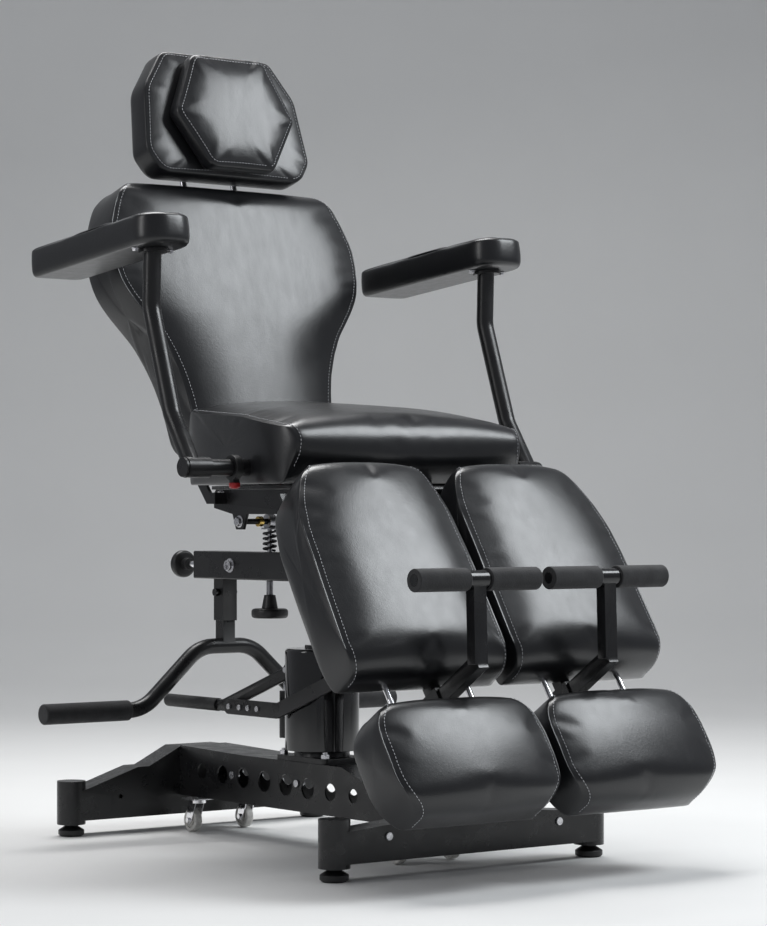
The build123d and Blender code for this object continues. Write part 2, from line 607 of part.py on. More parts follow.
with BuildPart() as main_beam:
    with BuildSketch(Plane.XZ.offset(-BEAM_REAR)):
        with Locations((0, beam_mid)):
            RectangleRounded(BEAM_SIZE, BEAM_SIZE, SHEET)
    extrude(amount=BEAM_REAR - BEAM_FRONT)
    with BuildSketch(Plane.XZ.offset(-BEAM_REAR + 2 * SHEET)):
        with Locations((0, beam_mid)):
            Rectangle(BEAM_SIZE - 2 * SHEET, BEAM_SIZE - 2 * SHEET)
    extrude(amount=BEAM_REAR - BEAM_FRONT - 4 * SHEET, mode=Mode.SUBTRACT)
    with BuildSketch(Plane.XY.offset(BEAM_LOW)):
        Circle(SOCKET_RADIUS)
    extrude(amount=-SOCKET_HEIGHT)
    with BuildSketch(Plane.XY.offset(BEAM_LOW)):
        Circle(PISTON_RADIUS + RUN)
    extrude(amount=-SOCKET_HEIGHT, mode=Mode.SUBTRACT)
    with BuildSketch(Plane.XY.offset(BEAM_LOW)):
        with Locations((0, HANGER_Y)):
            Rectangle(HANGER_SIZE, HANGER_SIZE)
    extrude(amount=HANGER_LOW - BEAM_LOW)
    with BuildSketch(Plane.XY.offset(HANGER_LOW)):
        with Locations((0, HANGER_Y)):
            Rectangle(INNER_SIZE + 4 * RUN, INNER_SIZE + 4 * RUN)
    extrude(amount=BEAM_LOW + 2 * SHEET - HANGER_LOW, mode=Mode.SUBTRACT)
    for side in (-1, 1):
        with BuildSketch(Plane.YZ.offset(side * BEAM_SIZE / 2)):
            with BuildLine():
                Polyline(
                    (TILT_Y - LUG_HALF, BEAM_LOW + SHEET),
                    (TILT_Y + LUG_HALF, BEAM_LOW + SHEET),
                    (TILT_Y + LUG_HALF, TILT_Z),
                    (TILT_Y, TILT_Z + LUG_HALF),
                    (TILT_Y - LUG_HALF, TILT_Z),
                    close=True,
                )
            make_face()
        extrude(amount=side * LUG_THICK)
    with BuildSketch(Plane.YZ.offset(-BEAM_SIZE)):
        with Locations((TILT_Y, TILT_Z)):
            Circle(TILT_PIN + RUN)
        with Locations((HANGER_Y, LOCK_PIN_Z)):
            Circle(LOCK_PIN_RADIUS + RUN)
        with Locations((BEAM_BOLT_Y, beam_mid)):
            Circle(BEAM_BOLT_SHANK + RUN)
    extrude(amount=2 * BEAM_SIZE, mode=Mode.SUBTRACT)
    with BuildSketch(Plane.XY.offset(BEAM_LOW - SHEET)):
        with Locations((0, ROD_Y)):
            Circle(ROD_RADIUS + RUN)
    extrude(amount=BEAM_SIZE + 2 * SHEET, mode=Mode.SUBTRACT)
    with BuildSketch(Plane.XZ.offset(-BEAM_REAR - OVERRUN)):
        with Locations((0, beam_mid)):
            Circle(END_STEM + RUN)
    extrude(amount=OVERRUN + 3 * SHEET, mode=Mode.SUBTRACT)
main_beam.part.label = "main_beam"
write(main_beam.part, "parts/main_beam.step")

with BuildPart() as beam_bolt:
    with BuildSketch(Plane.YZ.offset(-BEAM_SIZE / 2)):
        with Locations((BEAM_BOLT_Y, beam_mid)):
            RegularPolygon(BEAM_BOLT_HEAD, 6)
    extrude(amount=-BEAM_BOLT_RISE)
    with BuildSketch(Plane.YZ.offset(BEAM_SIZE / 2)):
        with Locations((BEAM_BOLT_Y, beam_mid)):
            RegularPolygon(BEAM_BOLT_HEAD, 6)
    extrude(amount=BEAM_BOLT_RISE)
    with BuildSketch(Plane.YZ.offset(-BEAM_SIZE / 2)):
        with Locations((BEAM_BOLT_Y, beam_mid)):
            Circle(BEAM_BOLT_SHANK)
    extrude(amount=BEAM_SIZE)
    with BuildSketch(Plane.YZ.offset(-PLATE_X - PLATE_THICK - SHEET)):
        with Locations((TILT_Y, TILT_Z)):
            Circle(TILT_PIN)
    extrude(amount=2 * (PLATE_X + PLATE_THICK + SHEET))
beam_bolt.part.label = "beam_fasteners"
write(beam_bolt.part, "parts/beam_fasteners.step")

END_KNOB_RADIUS = 25.0
END_KNOB_FRONT = 424.0
END_KNOB_REAR = 441.0
END_NECK_RADIUS = 11.0
END_NECK_FRONT = 410.0
STEM_FRONT = 340.0
with BuildPart() as end_knob:
    with BuildSketch(Plane.XZ.offset(-END_KNOB_FRONT)):
        with Locations((0, beam_mid)):
            Circle(END_STEM)
    extrude(amount=END_KNOB_FRONT - STEM_FRONT)
    with BuildSketch(Plane.XZ.offset(-END_KNOB_REAR)):
        with Locations((0, beam_mid)):
            Circle(END_KNOB_RADIUS)
    extrude(amount=END_KNOB_REAR - END_KNOB_FRONT)
    fillet(end_knob.edges().filter_by(GeomType.CIRCLE).group_by(SortBy.RADIUS)[-1], 2 * SHEET)
    with BuildSketch(Plane.XZ.offset(-END_KNOB_FRONT)):
        with Locations((0, beam_mid)):
            Circle(END_NECK_RADIUS)
    extrude(amount=END_KNOB_FRONT - END_NECK_FRONT)
end_knob.part.label = "end_knob"
write(end_knob.part, "parts/end_knob.step")

# Arch bar: a tube that slides in the hanger, with foam foot grips and a lock pin in its slot.
ARCH_FLAT = 56.0
ARCH_KNEE_X = 176.0
ARCH_KNEE_Z = 226.0
ARCH_END_X = 378.0
ARCH_BEND = 75.0
GRIP_RADIUS = 18.0
GRIP_START = 207.0
ARCH_TRAVEL = 40.0
arch_route = [
    (-ARCH_END_X, HANGER_Y, ARCH_KNEE_Z),
    (-ARCH_KNEE_X, HANGER_Y, ARCH_KNEE_Z),
    (-ARCH_FLAT, HANGER_Y, ARCH_Z),
    (ARCH_FLAT, HANGER_Y, ARCH_Z),
    (ARCH_KNEE_X, HANGER_Y, ARCH_KNEE_Z),
    (ARCH_END_X, HANGER_Y, ARCH_KNEE_Z),
]
with BuildPart() as arch_bar:
    with BuildLine() as arch_line:
        FilletPolyline(*arch_route, radius=ARCH_BEND)
    with BuildSketch(Plane(origin=arch_line.line @ 0, z_dir=arch_line.line % 0)):
        Circle(ARCH_RADIUS)
    sweep()
    with BuildSketch(Plane.XY.offset(ARCH_Z)):
        with Locations((0, HANGER_Y)):
            Rectangle(INNER_SIZE, INNER_SIZE)
    extrude(amount=INNER_TOP - ARCH_Z)
    with BuildSketch(Plane.XY.offset(ARCH_Z + ARCH_RADIUS)):
        with Locations((0, HANGER_Y)):
            Rectangle(INNER_SIZE - 2 * SHEET, INNER_SIZE - 2 * SHEET)
    extrude(amount=INNER_TOP, mode=Mode.SUBTRACT)
    slot_mid = LOCK_PIN_Z + ARCH_TRAVEL / 2
    with BuildSketch(Plane.YZ.offset(-INNER_SIZE)):
        with Locations((HANGER_Y, slot_mid)):
            SlotOverall(ARCH_TRAVEL + 2 * (LOCK_PIN_RADIUS + GAP), 2 * (LOCK_PIN_RADIUS + GAP), rotation=90)
    extrude(amount=2 * INNER_SIZE, mode=Mode.SUBTRACT)
arch_bar.part.label = "arch_bar"
write(arch_bar.part, "parts/arch_bar.step")

with BuildPart() as foot_grips:
    for side in (-1, 1):
        with BuildSketch(Plane.YZ.offset(side * GRIP_START)):
            with Locations((HANGER_Y, ARCH_KNEE_Z)):
                Circle(GRIP_RADIUS)
        extrude(amount=side * (ARCH_END_X + SHEET - GRIP_START))
    fillet(foot_grips.edges().filter_by(GeomType.CIRCLE), SHEET)
    for side in (-1, 1):
        with BuildSketch(Plane.YZ.offset(side * GRIP_START)):
            with Locations((HANGER_Y, ARCH_KNEE_Z)):
                Circle(ARCH_RADIUS + RUN)
        extrude(amount=side * (ARCH_END_X + RUN - GRIP_START), mode=Mode.SUBTRACT)
foot_grips.part.label = "foot_grips"
write(foot_grips.part, "parts/foot_grips.step")

LOCK_HEAD_RADIUS = 7.0
LOCK_HEAD = 9.0
LOCK_TAIL = 9.0
with BuildPart() as lock_pin:
    with BuildSketch(Plane.YZ.offset(-HANGER_SIZE / 2 - GAP)):
        with Locations((HANGER_Y, LOCK_PIN_Z)):
            Circle(LOCK_PIN_RADIUS)
    extrude(amount=HANGER_SIZE + LOCK_TAIL)
    with BuildSketch(Plane.YZ.offset(-HANGER_SIZE / 2 - GAP)):
        with Locations((HANGER_Y, LOCK_PIN_Z)):
            Circle(LOCK_HEAD_RADIUS)
    extrude(amount=-LOCK_HEAD)
lock_pin.part.label = "lock_pin"
write(lock_pin.part, "parts/lock_pin.step")

# Tilt gear under the seat: rod with an eye, clamp knob, and the spring round the rod.
CROSS_PIN = 5.0
EYE_RADIUS = 13.0
EYE_HALF = 7.0
EYE_PLAY = 2.0
FLANGE_RADIUS = 15.0
FLANGE_Z = 545.0
ROD_LOW = 418.0
KNOB_LOW = 388.0
KNOB_DISC = 17.0
KNOB_RIM = 6.0
KNOB_RADIUS = 32.5
KNOB_NECK = 10.0
KNOB_NECK_FOOT = 14.5
KNOB_NECK_HEIGHT = 24.0
KNOB_SLEEVE = 5.6
KNOB_BORE_LOW = 400.0
COIL_RADIUS = 11.0
COIL_WIRE = 2.0
COIL_TURNS = 4

with BuildPart() as tilt_rod:
    with BuildSketch(Plane.XY.offset(ROD_LOW)):
        with Locations((0, ROD_Y)):
            Circle(ROD_RADIUS)
    extrude(amount=FLANGE_Z - ROD_LOW + SHEET)
    with BuildSketch(Plane.XY.offset(FLANGE_Z)):
        with Locations((0, ROD_Y)):
            Circle(FLANGE_RADIUS)
    extrude(amount=SHEET)
    with BuildSketch(Plane.YZ.offset(-EYE_HALF)):
        with Locations((ROD_Y, EYE_Z)):
            Circle(EYE_RADIUS)
    extrude(amount=2 * EYE_HALF)
    with BuildSketch(Plane.YZ.offset(-EYE_HALF)):
        with Locations((ROD_Y, EYE_Z)):
            SlotOverall(2 * (CROSS_PIN + RUN) + EYE_PLAY, 2 * (CROSS_PIN + RUN))
    extrude(amount=2 * EYE_HALF, mode=Mode.SUBTRACT)
tilt_rod.part.label = "tilt_rod"
write(tilt_rod.part, "parts/tilt_rod.step")

with BuildPart() as tilt_knob:
    with BuildSketch(Plane.XY.offset(KNOB_LOW)):
        with Locations((0, ROD_Y)):
            Circle(KNOB_RADIUS)
    extrude(amount=KNOB_DISC)
    fillet(tilt_knob.edges().filter_by(GeomType.CIRCLE), KNOB_RIM)
    with BuildSketch(Plane.XY.offset(KNOB_LOW + KNOB_DISC)):
        with Locations((0, ROD_Y)):
            Circle(KNOB_NECK_FOOT)
    with BuildSketch(Plane.XY.offset(KNOB_LOW + KNOB_DISC + KNOB_NECK_HEIGHT)):
        with Locations((0, ROD_Y)):
            Circle(KNOB_NECK)
    loft()
    with BuildSketch(Plane.XY.offset(KNOB_LOW + KNOB_DISC)):
        with Locations((0, ROD_Y)):
            Circle(KNOB_SLEEVE)
    extrude(amount=BEAM_LOW - GAP - KNOB_LOW - KNOB_DISC)
    with BuildSketch(Plane.XY.offset(KNOB_BORE_LOW)):
        with Locations((0, ROD_Y)):
            Circle(ROD_RADIUS + RUN)
    extrude(amount=BEAM_LOW - KNOB_BORE_LOW, mode=Mode.SUBTRACT)
tilt_knob.part.label = "tilt_knob"
write(tilt_knob.part, "parts/tilt_knob.step")

coil_low = beam_high + GAP + COIL_WIRE
coil_height = FLANGE_Z - GAP - COIL_WIRE - coil_low
coil_plane = Plane(origin=(0, ROD_Y, coil_low))
with BuildPart() as tilt_spring:
    with BuildLine(coil_plane) as coil_line:
        Helix(pitch=coil_height / COIL_TURNS, height=coil_height, radius=COIL_RADIUS)
    with BuildSketch(Plane(origin=coil_line.line @ 0, z_dir=coil_line.line % 0)):
        Circle(COIL_WIRE)
    sweep(is_frenet=True)
tilt_spring.part.label = "tilt_spring"
write(tilt_spring.part, "parts/tilt_spring.step")
print("tilt spring least gap between turns", round(coil_height / COIL_TURNS - 2 * COIL_WIRE, 2))
print("arch bar bend radius", ARCH_BEND, "tube radius", ARCH_RADIUS)

# Seat: a frame on the tilt pin that carries the leg shaft, the arm receivers and the hinge ears.
FRAME_TOP = 620.0
TOP_PLATE = 6.0
LEG_Y = -262.0
LEG_Z = 610.0
LEG_SHAFT = 10.0
LEG_SHAFT_HALF = 246.0
LEG_EYE = 11.0
PLATE_LOW = 545.0
PLATE_REAR = 236.0
PLATE_MID_LOW = 572.0
ARM_Y = -132.0
ARM_Z = 648.0
ARM_SHAFT = 10.0
RECEIVER = 14.0
RECEIVER_START = 132.0
RECEIVER_END = 285.0
RECEIVER_WEB = 6.0
RECEIVER_WEB_END = 228.0
EAR_X = 84.0
EAR_PLATE = 6.0
HINGE_Y = 252.0
HINGE_Z = 640.0
HINGE_PIN = 6.0
HINGE_EYE = 13.0
BACK_ARM_X = 76.0
BACK_ARM = 7.0
CROSS_Y = 209.0
CROSS_Z = 600.0
CROSS_WIDTH = 26.0
CROSS_HEIGHT = 20.0
SEAT_FRONT = -256.0
SEAT_LENGTH = 383.0
SEAT_HALF = 250.0
SEAT_SHARES = (
    (0.76, 0.0), (0.93, 0.035), (1.0, 0.12), (0.985, 0.33), (0.91, 0.66), (0.82, 0.95), (0.72, 1.0),
)
TOP_PLATE_INSET = 34.0
SEAT_SECTIONS = (
    (620.3, 30.0, 0.0), (640.0, 16.0, 0.0), (664.0, 8.0, 1.0), (690.0, 2.0, 2.0),
    (704.0, 4.0, 3.5), (712.0, 16.0, 5.0), (720.0, 46.0, 5.5), (726.0, 96.0, 5.5),
)
NOTCH_HALF_Y = 20.0
NOTCH_HIGH = 672.0
NOTCH_START = 112.0

seat_half_outline = [(x * SEAT_HALF, SEAT_FRONT + y * SEAT_LENGTH) for x, y in SEAT_SHARES]
seat_outline = seat_half_outline + [(-x, y) for x, y in reversed(seat_half_outline)]

with BuildPart() as seat_frame:
    for side in (-1, 1):
        with BuildSketch(Plane.YZ.offset(side * PLATE_X)):
            with BuildLine():
                Polyline(
                    (LEG_Y, LEG_Z - LEG_EYE),
                    (TILT_Y - 2 * LUG_HALF, PLATE_MID_LOW),
                    (TILT_Y - LUG_HALF, PLATE_LOW),
                    (TILT_Y + LUG_HALF, PLATE_LOW),
                    (TILT_Y + 2 * LUG_HALF, PLATE_MID_LOW),
                    (ROD_Y - 2 * LEG_EYE, PLATE_MID_LOW),
                    (ROD_Y - LEG_EYE, PLATE_LOW),
                    (ROD_Y + LEG_EYE, PLATE_LOW),
                    (ROD_Y + 2 * LEG_EYE, PLATE_MID_LOW),
                    (PLATE_REAR, PLATE_MID_LOW + LEG_EYE),
                    (PLATE_REAR, FRAME_TOP - LEG_EYE),
                    (PLATE_REAR - LEG_EYE, FRAME_TOP),
                    (LEG_Y, FRAME_TOP),
                    close=True,
                )
            make_face()
            with Locations((LEG_Y, LEG_Z)):
                Circle(LEG_EYE)
            with Locations((TILT_Y, TILT_Z)):
                Circle(TILT_PIN + RUN, mode=Mode.SUBTRACT)
        extrude(amount=side * PLATE_THICK)
    with BuildSketch(Plane.XY.offset(FRAME_TOP - TOP_PLATE)):
        with BuildLine():
            Polyline(*drawn_in(seat_outline, TOP_PLATE_INSET), close=True)
        make_face()
    extrude(amount=TOP_PLATE)
    with BuildSketch(Plane.YZ.offset(-LEG_SHAFT_HALF)):
        with Locations((LEG_Y, LEG_Z)):
            Circle(LEG_SHAFT)
    extrude(amount=2 * LEG_SHAFT_HALF)
    with BuildSketch(Plane.YZ.offset(-PLATE_X)):
        with Locations((ROD_Y, EYE_Z)):
            Circle(CROSS_PIN)
    extrude(amount=2 * PLATE_X)
    with BuildSketch(Plane.YZ.offset(-EAR_X - EAR_PLATE)):
        with Locations((CROSS_Y, CROSS_Z)):
            Rectangle(CROSS_WIDTH, CROSS_HEIGHT)
    extrude(amount=2 * (EAR_X + EAR_PLATE))
    for side in (-1, 1):
        with BuildSketch(Plane.YZ.offset(side * EAR_X)):
            with BuildLine():
                Polyline(
                    (CROSS_Y - CROSS_WIDTH / 2, CROSS_Z - CROSS_HEIGHT / 2),
                    (CROSS_Y + CROSS_WIDTH / 2, CROSS_Z - CROSS_HEIGHT / 2),
                    (HINGE_Y + HINGE_EYE, HINGE_Z),
                    (HINGE_Y - HINGE_EYE, HINGE_Z),
                    close=True,
                )
            make_face()
            with Locations((HINGE_Y, HINGE_Z)):
                Circle(HINGE_EYE)
        extrude(amount=side * EAR_PLATE)
        with BuildSketch(Plane.YZ.offset(side * (BACK_ARM_X - GAP))):
            with Locations((HINGE_Y, HINGE_Z)):
                Circle(HINGE_PIN)
        extrude(amount=side * (EAR_X - BACK_ARM_X + GAP))
        with BuildSketch(Plane.YZ.offset(side * RECEIVER_START)):
            with Locations((ARM_Y, (ARM_Z + FRAME_TOP) / 2)):
                Rectangle(RECEIVER_WEB, ARM_Z - FRAME_TOP)
        extrude(amount=side * (RECEIVER_WEB_END - RECEIVER_START))
        with BuildSketch(Plane.YZ.offset(side * RECEIVER_START)):
            with Locations((ARM_Y, ARM_Z)):
                Circle(RECEIVER)
        extrude(amount=side * (RECEIVER_END - RECEIVER_START))
        with BuildSketch(Plane.YZ.offset(side * (RECEIVER_START + SHEET))):
            with Locations((ARM_Y, ARM_Z)):
                Circle(ARM_SHAFT + RUN)
        extrude(amount=side * RECEIVER_END, mode=Mode.SUBTRACT)
seat_frame.part.label = "seat_frame"
write(seat_frame.part, "parts/seat_frame.step")

with BuildPart() as seat_cushion:
    for height, inset, pitch in SEAT_SECTIONS:
        level = Plane(
            origin=(0, SEAT_FRONT, height),
            x_dir=(1, 0, 0),
            z_dir=(0, -sin(radians(pitch)), cos(radians(pitch))),
        )
        outline = [(x, y - SEAT_FRONT) for x, y in drawn_in(seat_outline, inset)]
        with BuildSketch(level):
            with BuildLine():
                Polyline(*outline, close=True)
            make_face()
    loft(ruled=True)
    for side in (-1, 1):
        with BuildSketch(Plane.YZ.offset(side * NOTCH_START)):
            with Locations((ARM_Y, (NOTCH_HIGH + FRAME_TOP) / 2)):
                Rectangle(2 * NOTCH_HALF_Y, NOTCH_HIGH - FRAME_TOP)
        extrude(amount=side * SEAT_HALF, mode=Mode.SUBTRACT)
seat_cushion.part.label = "seat_cushion"
write(seat_cushion.part, "parts/seat_cushion.step")

# Backrest: a frame on two hinge arms with guides for the headrest rods, and a waisted cushion.
BACK_LEAN = 16.5
BACK_Y = 164.0
BACK_Z = 784.0
BACK_HALF = 264.0
BACK_LENGTH = 402.0
BACK_SHARES = (
    (0.48, -0.22), (0.55, -0.19), (0.575, -0.05), (0.6, 0.06), (0.64, 0.14), (0.73, 0.285),
    (0.885, 0.42), (0.975, 0.54), (1.0, 0.66), (0.985, 0.76), (0.9, 0.92), (0.78, 1.0),
)
BACK_DEPTH = 108.0
BACK_SECTIONS = ((0.0, 72.0), (5.0, 34.0), (16.0, 9.0), (32.0, 0.0), (94.0, 2.0), (108.0, 12.0))
BACK_PLATE = 4.0
BACK_PLATE_HALF = 118.0
BACK_PLATE_LOW = -55.0
BACK_PLATE_DROP = 30.0
BACK_PLATE_HIGH = BACK_LENGTH - BACK_PLATE_DROP
BACK_ARM_TOP = 10.0
BACK_ARM_DEEP = 30.0
HEAD_ROD_X = 55.0
HEAD_ROD = 6.0
HEAD_ROD_DEPTH = 68.0
HEAD_GUIDE = 11.0
HEAD_GUIDE_LOW = 220.0
HEAD_GUIDE_DROP = 6.0
HEAD_GUIDE_HIGH = BACK_LENGTH - HEAD_GUIDE_DROP
HEAD_CHANNEL = 14.0
HEAD_CHANNEL_LOW = 212.0
HEAD_ROD_LOW = 232.0
HEAD_ROD_RISE = 113.0
HEAD_ROD_HIGH = BACK_LENGTH + HEAD_ROD_RISE
HEAD_TUBE = 9.0
HEAD_TUBE_HALF = 66.0
back_face = lean_plane(BACK_Y, BACK_Z, BACK_LEAN)
back_half_outline = [(x * BACK_HALF, y * BACK_LENGTH) for x, y in BACK_SHARES]
back_outline = back_half_outline + [(-x, y) for x, y in reversed(back_half_outline)]
plate_depth = BACK_DEPTH + GAP


def back_point(up, depth):
    """Point in the side view at a distance up the backrest's face and a depth behind it."""
    return slope_point(BACK_Y, BACK_Z, BACK_LEAN, up, depth)


with BuildPart() as backrest_frame:
    with BuildSketch(back_face.offset(-plate_depth)):
        with Locations((0, (BACK_PLATE_LOW + BACK_PLATE_HIGH) / 2)):
            RectangleRounded(2 * BACK_PLATE_HALF, BACK_PLATE_HIGH - BACK_PLATE_LOW, 4 * SHEET)
    extrude(amount=-BACK_PLATE)
    for side in (-1, 1):
        with BuildSketch(Plane.YZ.offset(side * BACK_ARM_X)):
            with BuildLine():
                Polyline(
                    (HINGE_Y - HINGE_EYE, HINGE_Z),
                    back_point(BACK_PLATE_LOW - 2 * HINGE_EYE, plate_depth),
                    back_point(BACK_ARM_TOP, plate_depth),
                    back_point(BACK_PLATE_LOW, plate_depth + BACK_ARM_DEEP),
                    (HINGE_Y + HINGE_EYE, HINGE_Z),
                    close=True,
                )
            make_face()
            with Locations((HINGE_Y, HINGE_Z)):
                Circle(HINGE_EYE)
                Circle(HINGE_PIN + RUN, mode=Mode.SUBTRACT)
        extrude(amount=side * (BACK_ARM - GAP))
    for side in (-1, 1):
        with BuildSketch(back_face.offset(-HEAD_ROD_DEPTH)):
            with Locations((side * HEAD_ROD_X, (HEAD_GUIDE_LOW + HEAD_GUIDE_HIGH - HEAD_GUIDE) / 2)):
                Rectangle(HEAD_GUIDE, HEAD_GUIDE_HIGH - HEAD_GUIDE_LOW - 3 * HEAD_GUIDE)
        extrude(amount=HEAD_ROD_DEPTH - plate_depth)
        foot = back_face.offset(-HEAD_ROD_DEPTH).from_local_coords((side * HEAD_ROD_X, HEAD_GUIDE_LOW, 0))
        with BuildSketch(Plane(origin=foot, x_dir=(1, 0, 0), z_dir=back_face.y_dir)):
            Circle(HEAD_GUIDE)
        extrude(amount=HEAD_GUIDE_HIGH - HEAD_GUIDE_LOW)
        with BuildSketch(Plane(origin=foot, x_dir=(1, 0, 0), z_dir=back_face.y_dir)):
            Circle(HEAD_ROD + RUN)
        extrude(amount=BACK_LENGTH, mode=Mode.SUBTRACT)
backrest_frame.part.label = "backrest_frame"
write(backrest_frame.part, "parts/backrest_frame.step")

with BuildPart() as backrest_cushion:
    for depth, inset in BACK_SECTIONS:
        with BuildSketch(back_face.offset(-depth)):
            with BuildLine():
                Polyline(*drawn_in(back_outline, inset), close=True)
            make_face()
    loft(ruled=True)
    for side in (-1, 1):
        with BuildSketch(back_face.offset(-HEAD_ROD_DEPTH + HEAD_CHANNEL)):
            with Locations((side * HEAD_ROD_X, (HEAD_CHANNEL_LOW + BACK_LENGTH + OVERRUN) / 2)):
                Rectangle(2 * HEAD_CHANNEL, BACK_LENGTH + OVERRUN - HEAD_CHANNEL_LOW)
        extrude(amount=-BACK_DEPTH, mode=Mode.SUBTRACT)
backrest_cushion.part.label = "backrest_cushion"
write(backrest_cushion.part, "parts/backrest_cushion.step")

# Headrest: rods with a hinge tube, a bracket that turns on it, and two stacked cushions.
HEAD_LEAN = 14.0
HEAD_RISE = 114.0
HEAD_AHEAD = 64.2
HEAD_Y, HEAD_Z = back_point(BACK_LENGTH + HEAD_RISE, -HEAD_AHEAD)
HEAD_FRONT_HALF = 128.0
HEAD_FRONT_LENGTH = 210.0
HEAD_FRONT_SHARES = (
    (0.45, -0.5), (0.56, -0.48), (0.63, -0.44), (0.97, -0.08), (1.0, -0.03), (0.97, 0.03),
    (0.7, 0.44), (0.63, 0.49), (0.52, 0.5),
)
HEAD_FRONT_DEPTH = 44.0
HEAD_FRONT_SECTIONS = ((0.0, 44.0), (4.0, 18.0), (12.0, 4.0), (24.0, 0.0), (36.0, 1.0), (44.0, 6.0))
HEAD_REAR_HALF = 176.0
HEAD_REAR_LENGTH = 228.0
HEAD_REAR_SHARES = (
    (0.84, -0.46), (0.95, -0.41), (1.0, -0.32), (0.99, -0.1), (0.93, 0.2), (0.84, 0.42),
    (0.76, 0.5), (0.62, 0.54),
)
HEAD_REAR_SECTIONS = ((44.3, 12.0), (52.0, 3.0), (64.0, 0.0), (92.0, 1.0), (106.0, 13.0))
HEAD_PLATE_DEPTH = 106.3
HEAD_PLATE = 4.0
HEAD_PLATE_HALF_X = 72.0
HEAD_PLATE_HALF_Y = 60.0
HEAD_LUG = 16.0
HEAD_LUG_X = 20.0
HEAD_LUG_THICK = 12.0
head_face = lean_plane(HEAD_Y, HEAD_Z, HEAD_LEAN)
tube_y, tube_z = back_point(HEAD_ROD_HIGH, HEAD_ROD_DEPTH)
rod_plane = back_face.offset(-HEAD_ROD_DEPTH)

with BuildPart() as headrest_rods:
    for side in (-1, 1):
        foot = rod_plane.from_local_coords((side * HEAD_ROD_X, HEAD_ROD_LOW, 0))
        with BuildSketch(Plane(origin=foot, x_dir=(1, 0, 0), z_dir=back_face.y_dir)):
            Circle(HEAD_ROD)
        extrude(amount=HEAD_ROD_HIGH - HEAD_ROD_LOW)
    with BuildSketch(Plane.YZ.offset(-HEAD_TUBE_HALF)):
        with Locations((tube_y, tube_z)):
            Circle(HEAD_TUBE)
    extrude(amount=2 * HEAD_TUBE_HALF)
headrest_rods.part.label = "headrest_rods"
write(headrest_rods.part, "parts/headrest_rods.step")

with BuildPart() as headrest_bracket:
    with BuildSketch(head_face.offset(-HEAD_PLATE_DEPTH)):
        RectangleRounded(2 * HEAD_PLATE_HALF_X, 2 * HEAD_PLATE_HALF_Y, 4 * SHEET)
    extrude(amount=-HEAD_PLATE)
    for side in (-1, 1):
        with BuildSketch(Plane.YZ.offset(side * HEAD_LUG_X)):
            with BuildLine():
                Polyline(
                    slope_point(HEAD_Y, HEAD_Z, HEAD_LEAN, -2 * HEAD_LUG, HEAD_PLATE_DEPTH),
                    slope_point(HEAD_Y, HEAD_Z, HEAD_LEAN, HEAD_LUG, HEAD_PLATE_DEPTH),
                    (tube_y, tube_z + HEAD_LUG),
                    (tube_y, tube_z - HEAD_LUG),
                    close=True,
                )
            make_face()
            with Locations((tube_y, tube_z)):
                Circle(HEAD_LUG)
        extrude(amount=side * HEAD_LUG_THICK)
    with BuildSketch(Plane.YZ.offset(-HEAD_TUBE_HALF)):
        with Locations((tube_y, tube_z)):
            Circle(HEAD_TUBE + RUN)
    extrude(amount=2 * HEAD_TUBE_HALF, mode=Mode.SUBTRACT)
headrest_bracket.part.label = "headrest_bracket"
write(headrest_bracket.part, "parts/headrest_bracket.step")

for pad_name, shares, half_width, length, sections in (
    ("headrest_front_pad", HEAD_FRONT_SHARES, HEAD_FRONT_HALF, HEAD_FRONT_LENGTH, HEAD_FRONT_SECTIONS),
    ("headrest_rear_pad", HEAD_REAR_SHARES, HEAD_REAR_HALF, HEAD_REAR_LENGTH, HEAD_REAR_SECTIONS),
):
    half_outline = [(x * half_width, y * length) for x, y in shares]
    outline = half_outline + [(-x, y) for x, y in reversed(half_outline)]
    with BuildPart() as head_pad:
        for depth, inset in sections:
            with BuildSketch(head_face.offset(-depth)):
                with BuildLine():
                    Polyline(*drawn_in(outline, inset), close=True)
                make_face()
        loft(ruled=True)
    head_pad.part.label = pad_name
    write(head_pad.part, f"parts/{pad_name}.step")

# Armrests: a shaft in the receiver, a lock lever, a bent post with its hub, and a cushion.
ARM_SHAFT_START = 150.0
ARM_SHAFT_END = 371.5
ARM_SHOULDER = 14.0
ARM_SHOULDER_WIDTH = 40.0
ARM_CAP = 16.0
ARM_CAP_WIDTH = 5.0
ARM_HUB = 17.0
ARM_HUB_START = 326.0
POST_X = 356.0
ARM_POST = 15.0
POST_ROUTE = ((-72.0, 735.0), (-10.0, 912.0), (-13.0, 1004.0))
POST_BEND = 60.0
ARM_PAD_Y = -14.0
ARM_PAD_LOW = 1008.0
ARM_PAD_PITCH = 5.7
ARM_PIN = 8.0
ARM_PIN_RISE = 24.0
ARM_FLANGE = 24.0
ARM_FLANGE_THICK = 6.0
ARM_PAD_FRONT = -66.0
ARM_PAD_LENGTH = 382.0
ARM_PAD_HALF = 50.0
ARM_PAD_SHARES = (
    (0.3, 0.0), (0.62, 0.02), (0.88, 0.07), (1.0, 0.14), (1.0, 0.94), (0.94, 0.985), (0.8, 1.0),
)
ARM_PAD_SECTIONS = ((0.3, 6.0), (6.0, 1.0), (26.0, 0.0), (44.0, 2.0), (54.0, 10.0), (60.0, 26.0))
LEVER_COLLAR = 21.0
LEVER_START = 270.0
LEVER_WIDTH = 13.0
LEVER_REACH = 32.0
LEVER_THICK = 12.0
LEVER_ANGLE = 262.0
pad_normal = (0, sin(radians(ARM_PAD_PITCH)), cos(radians(ARM_PAD_PITCH)))

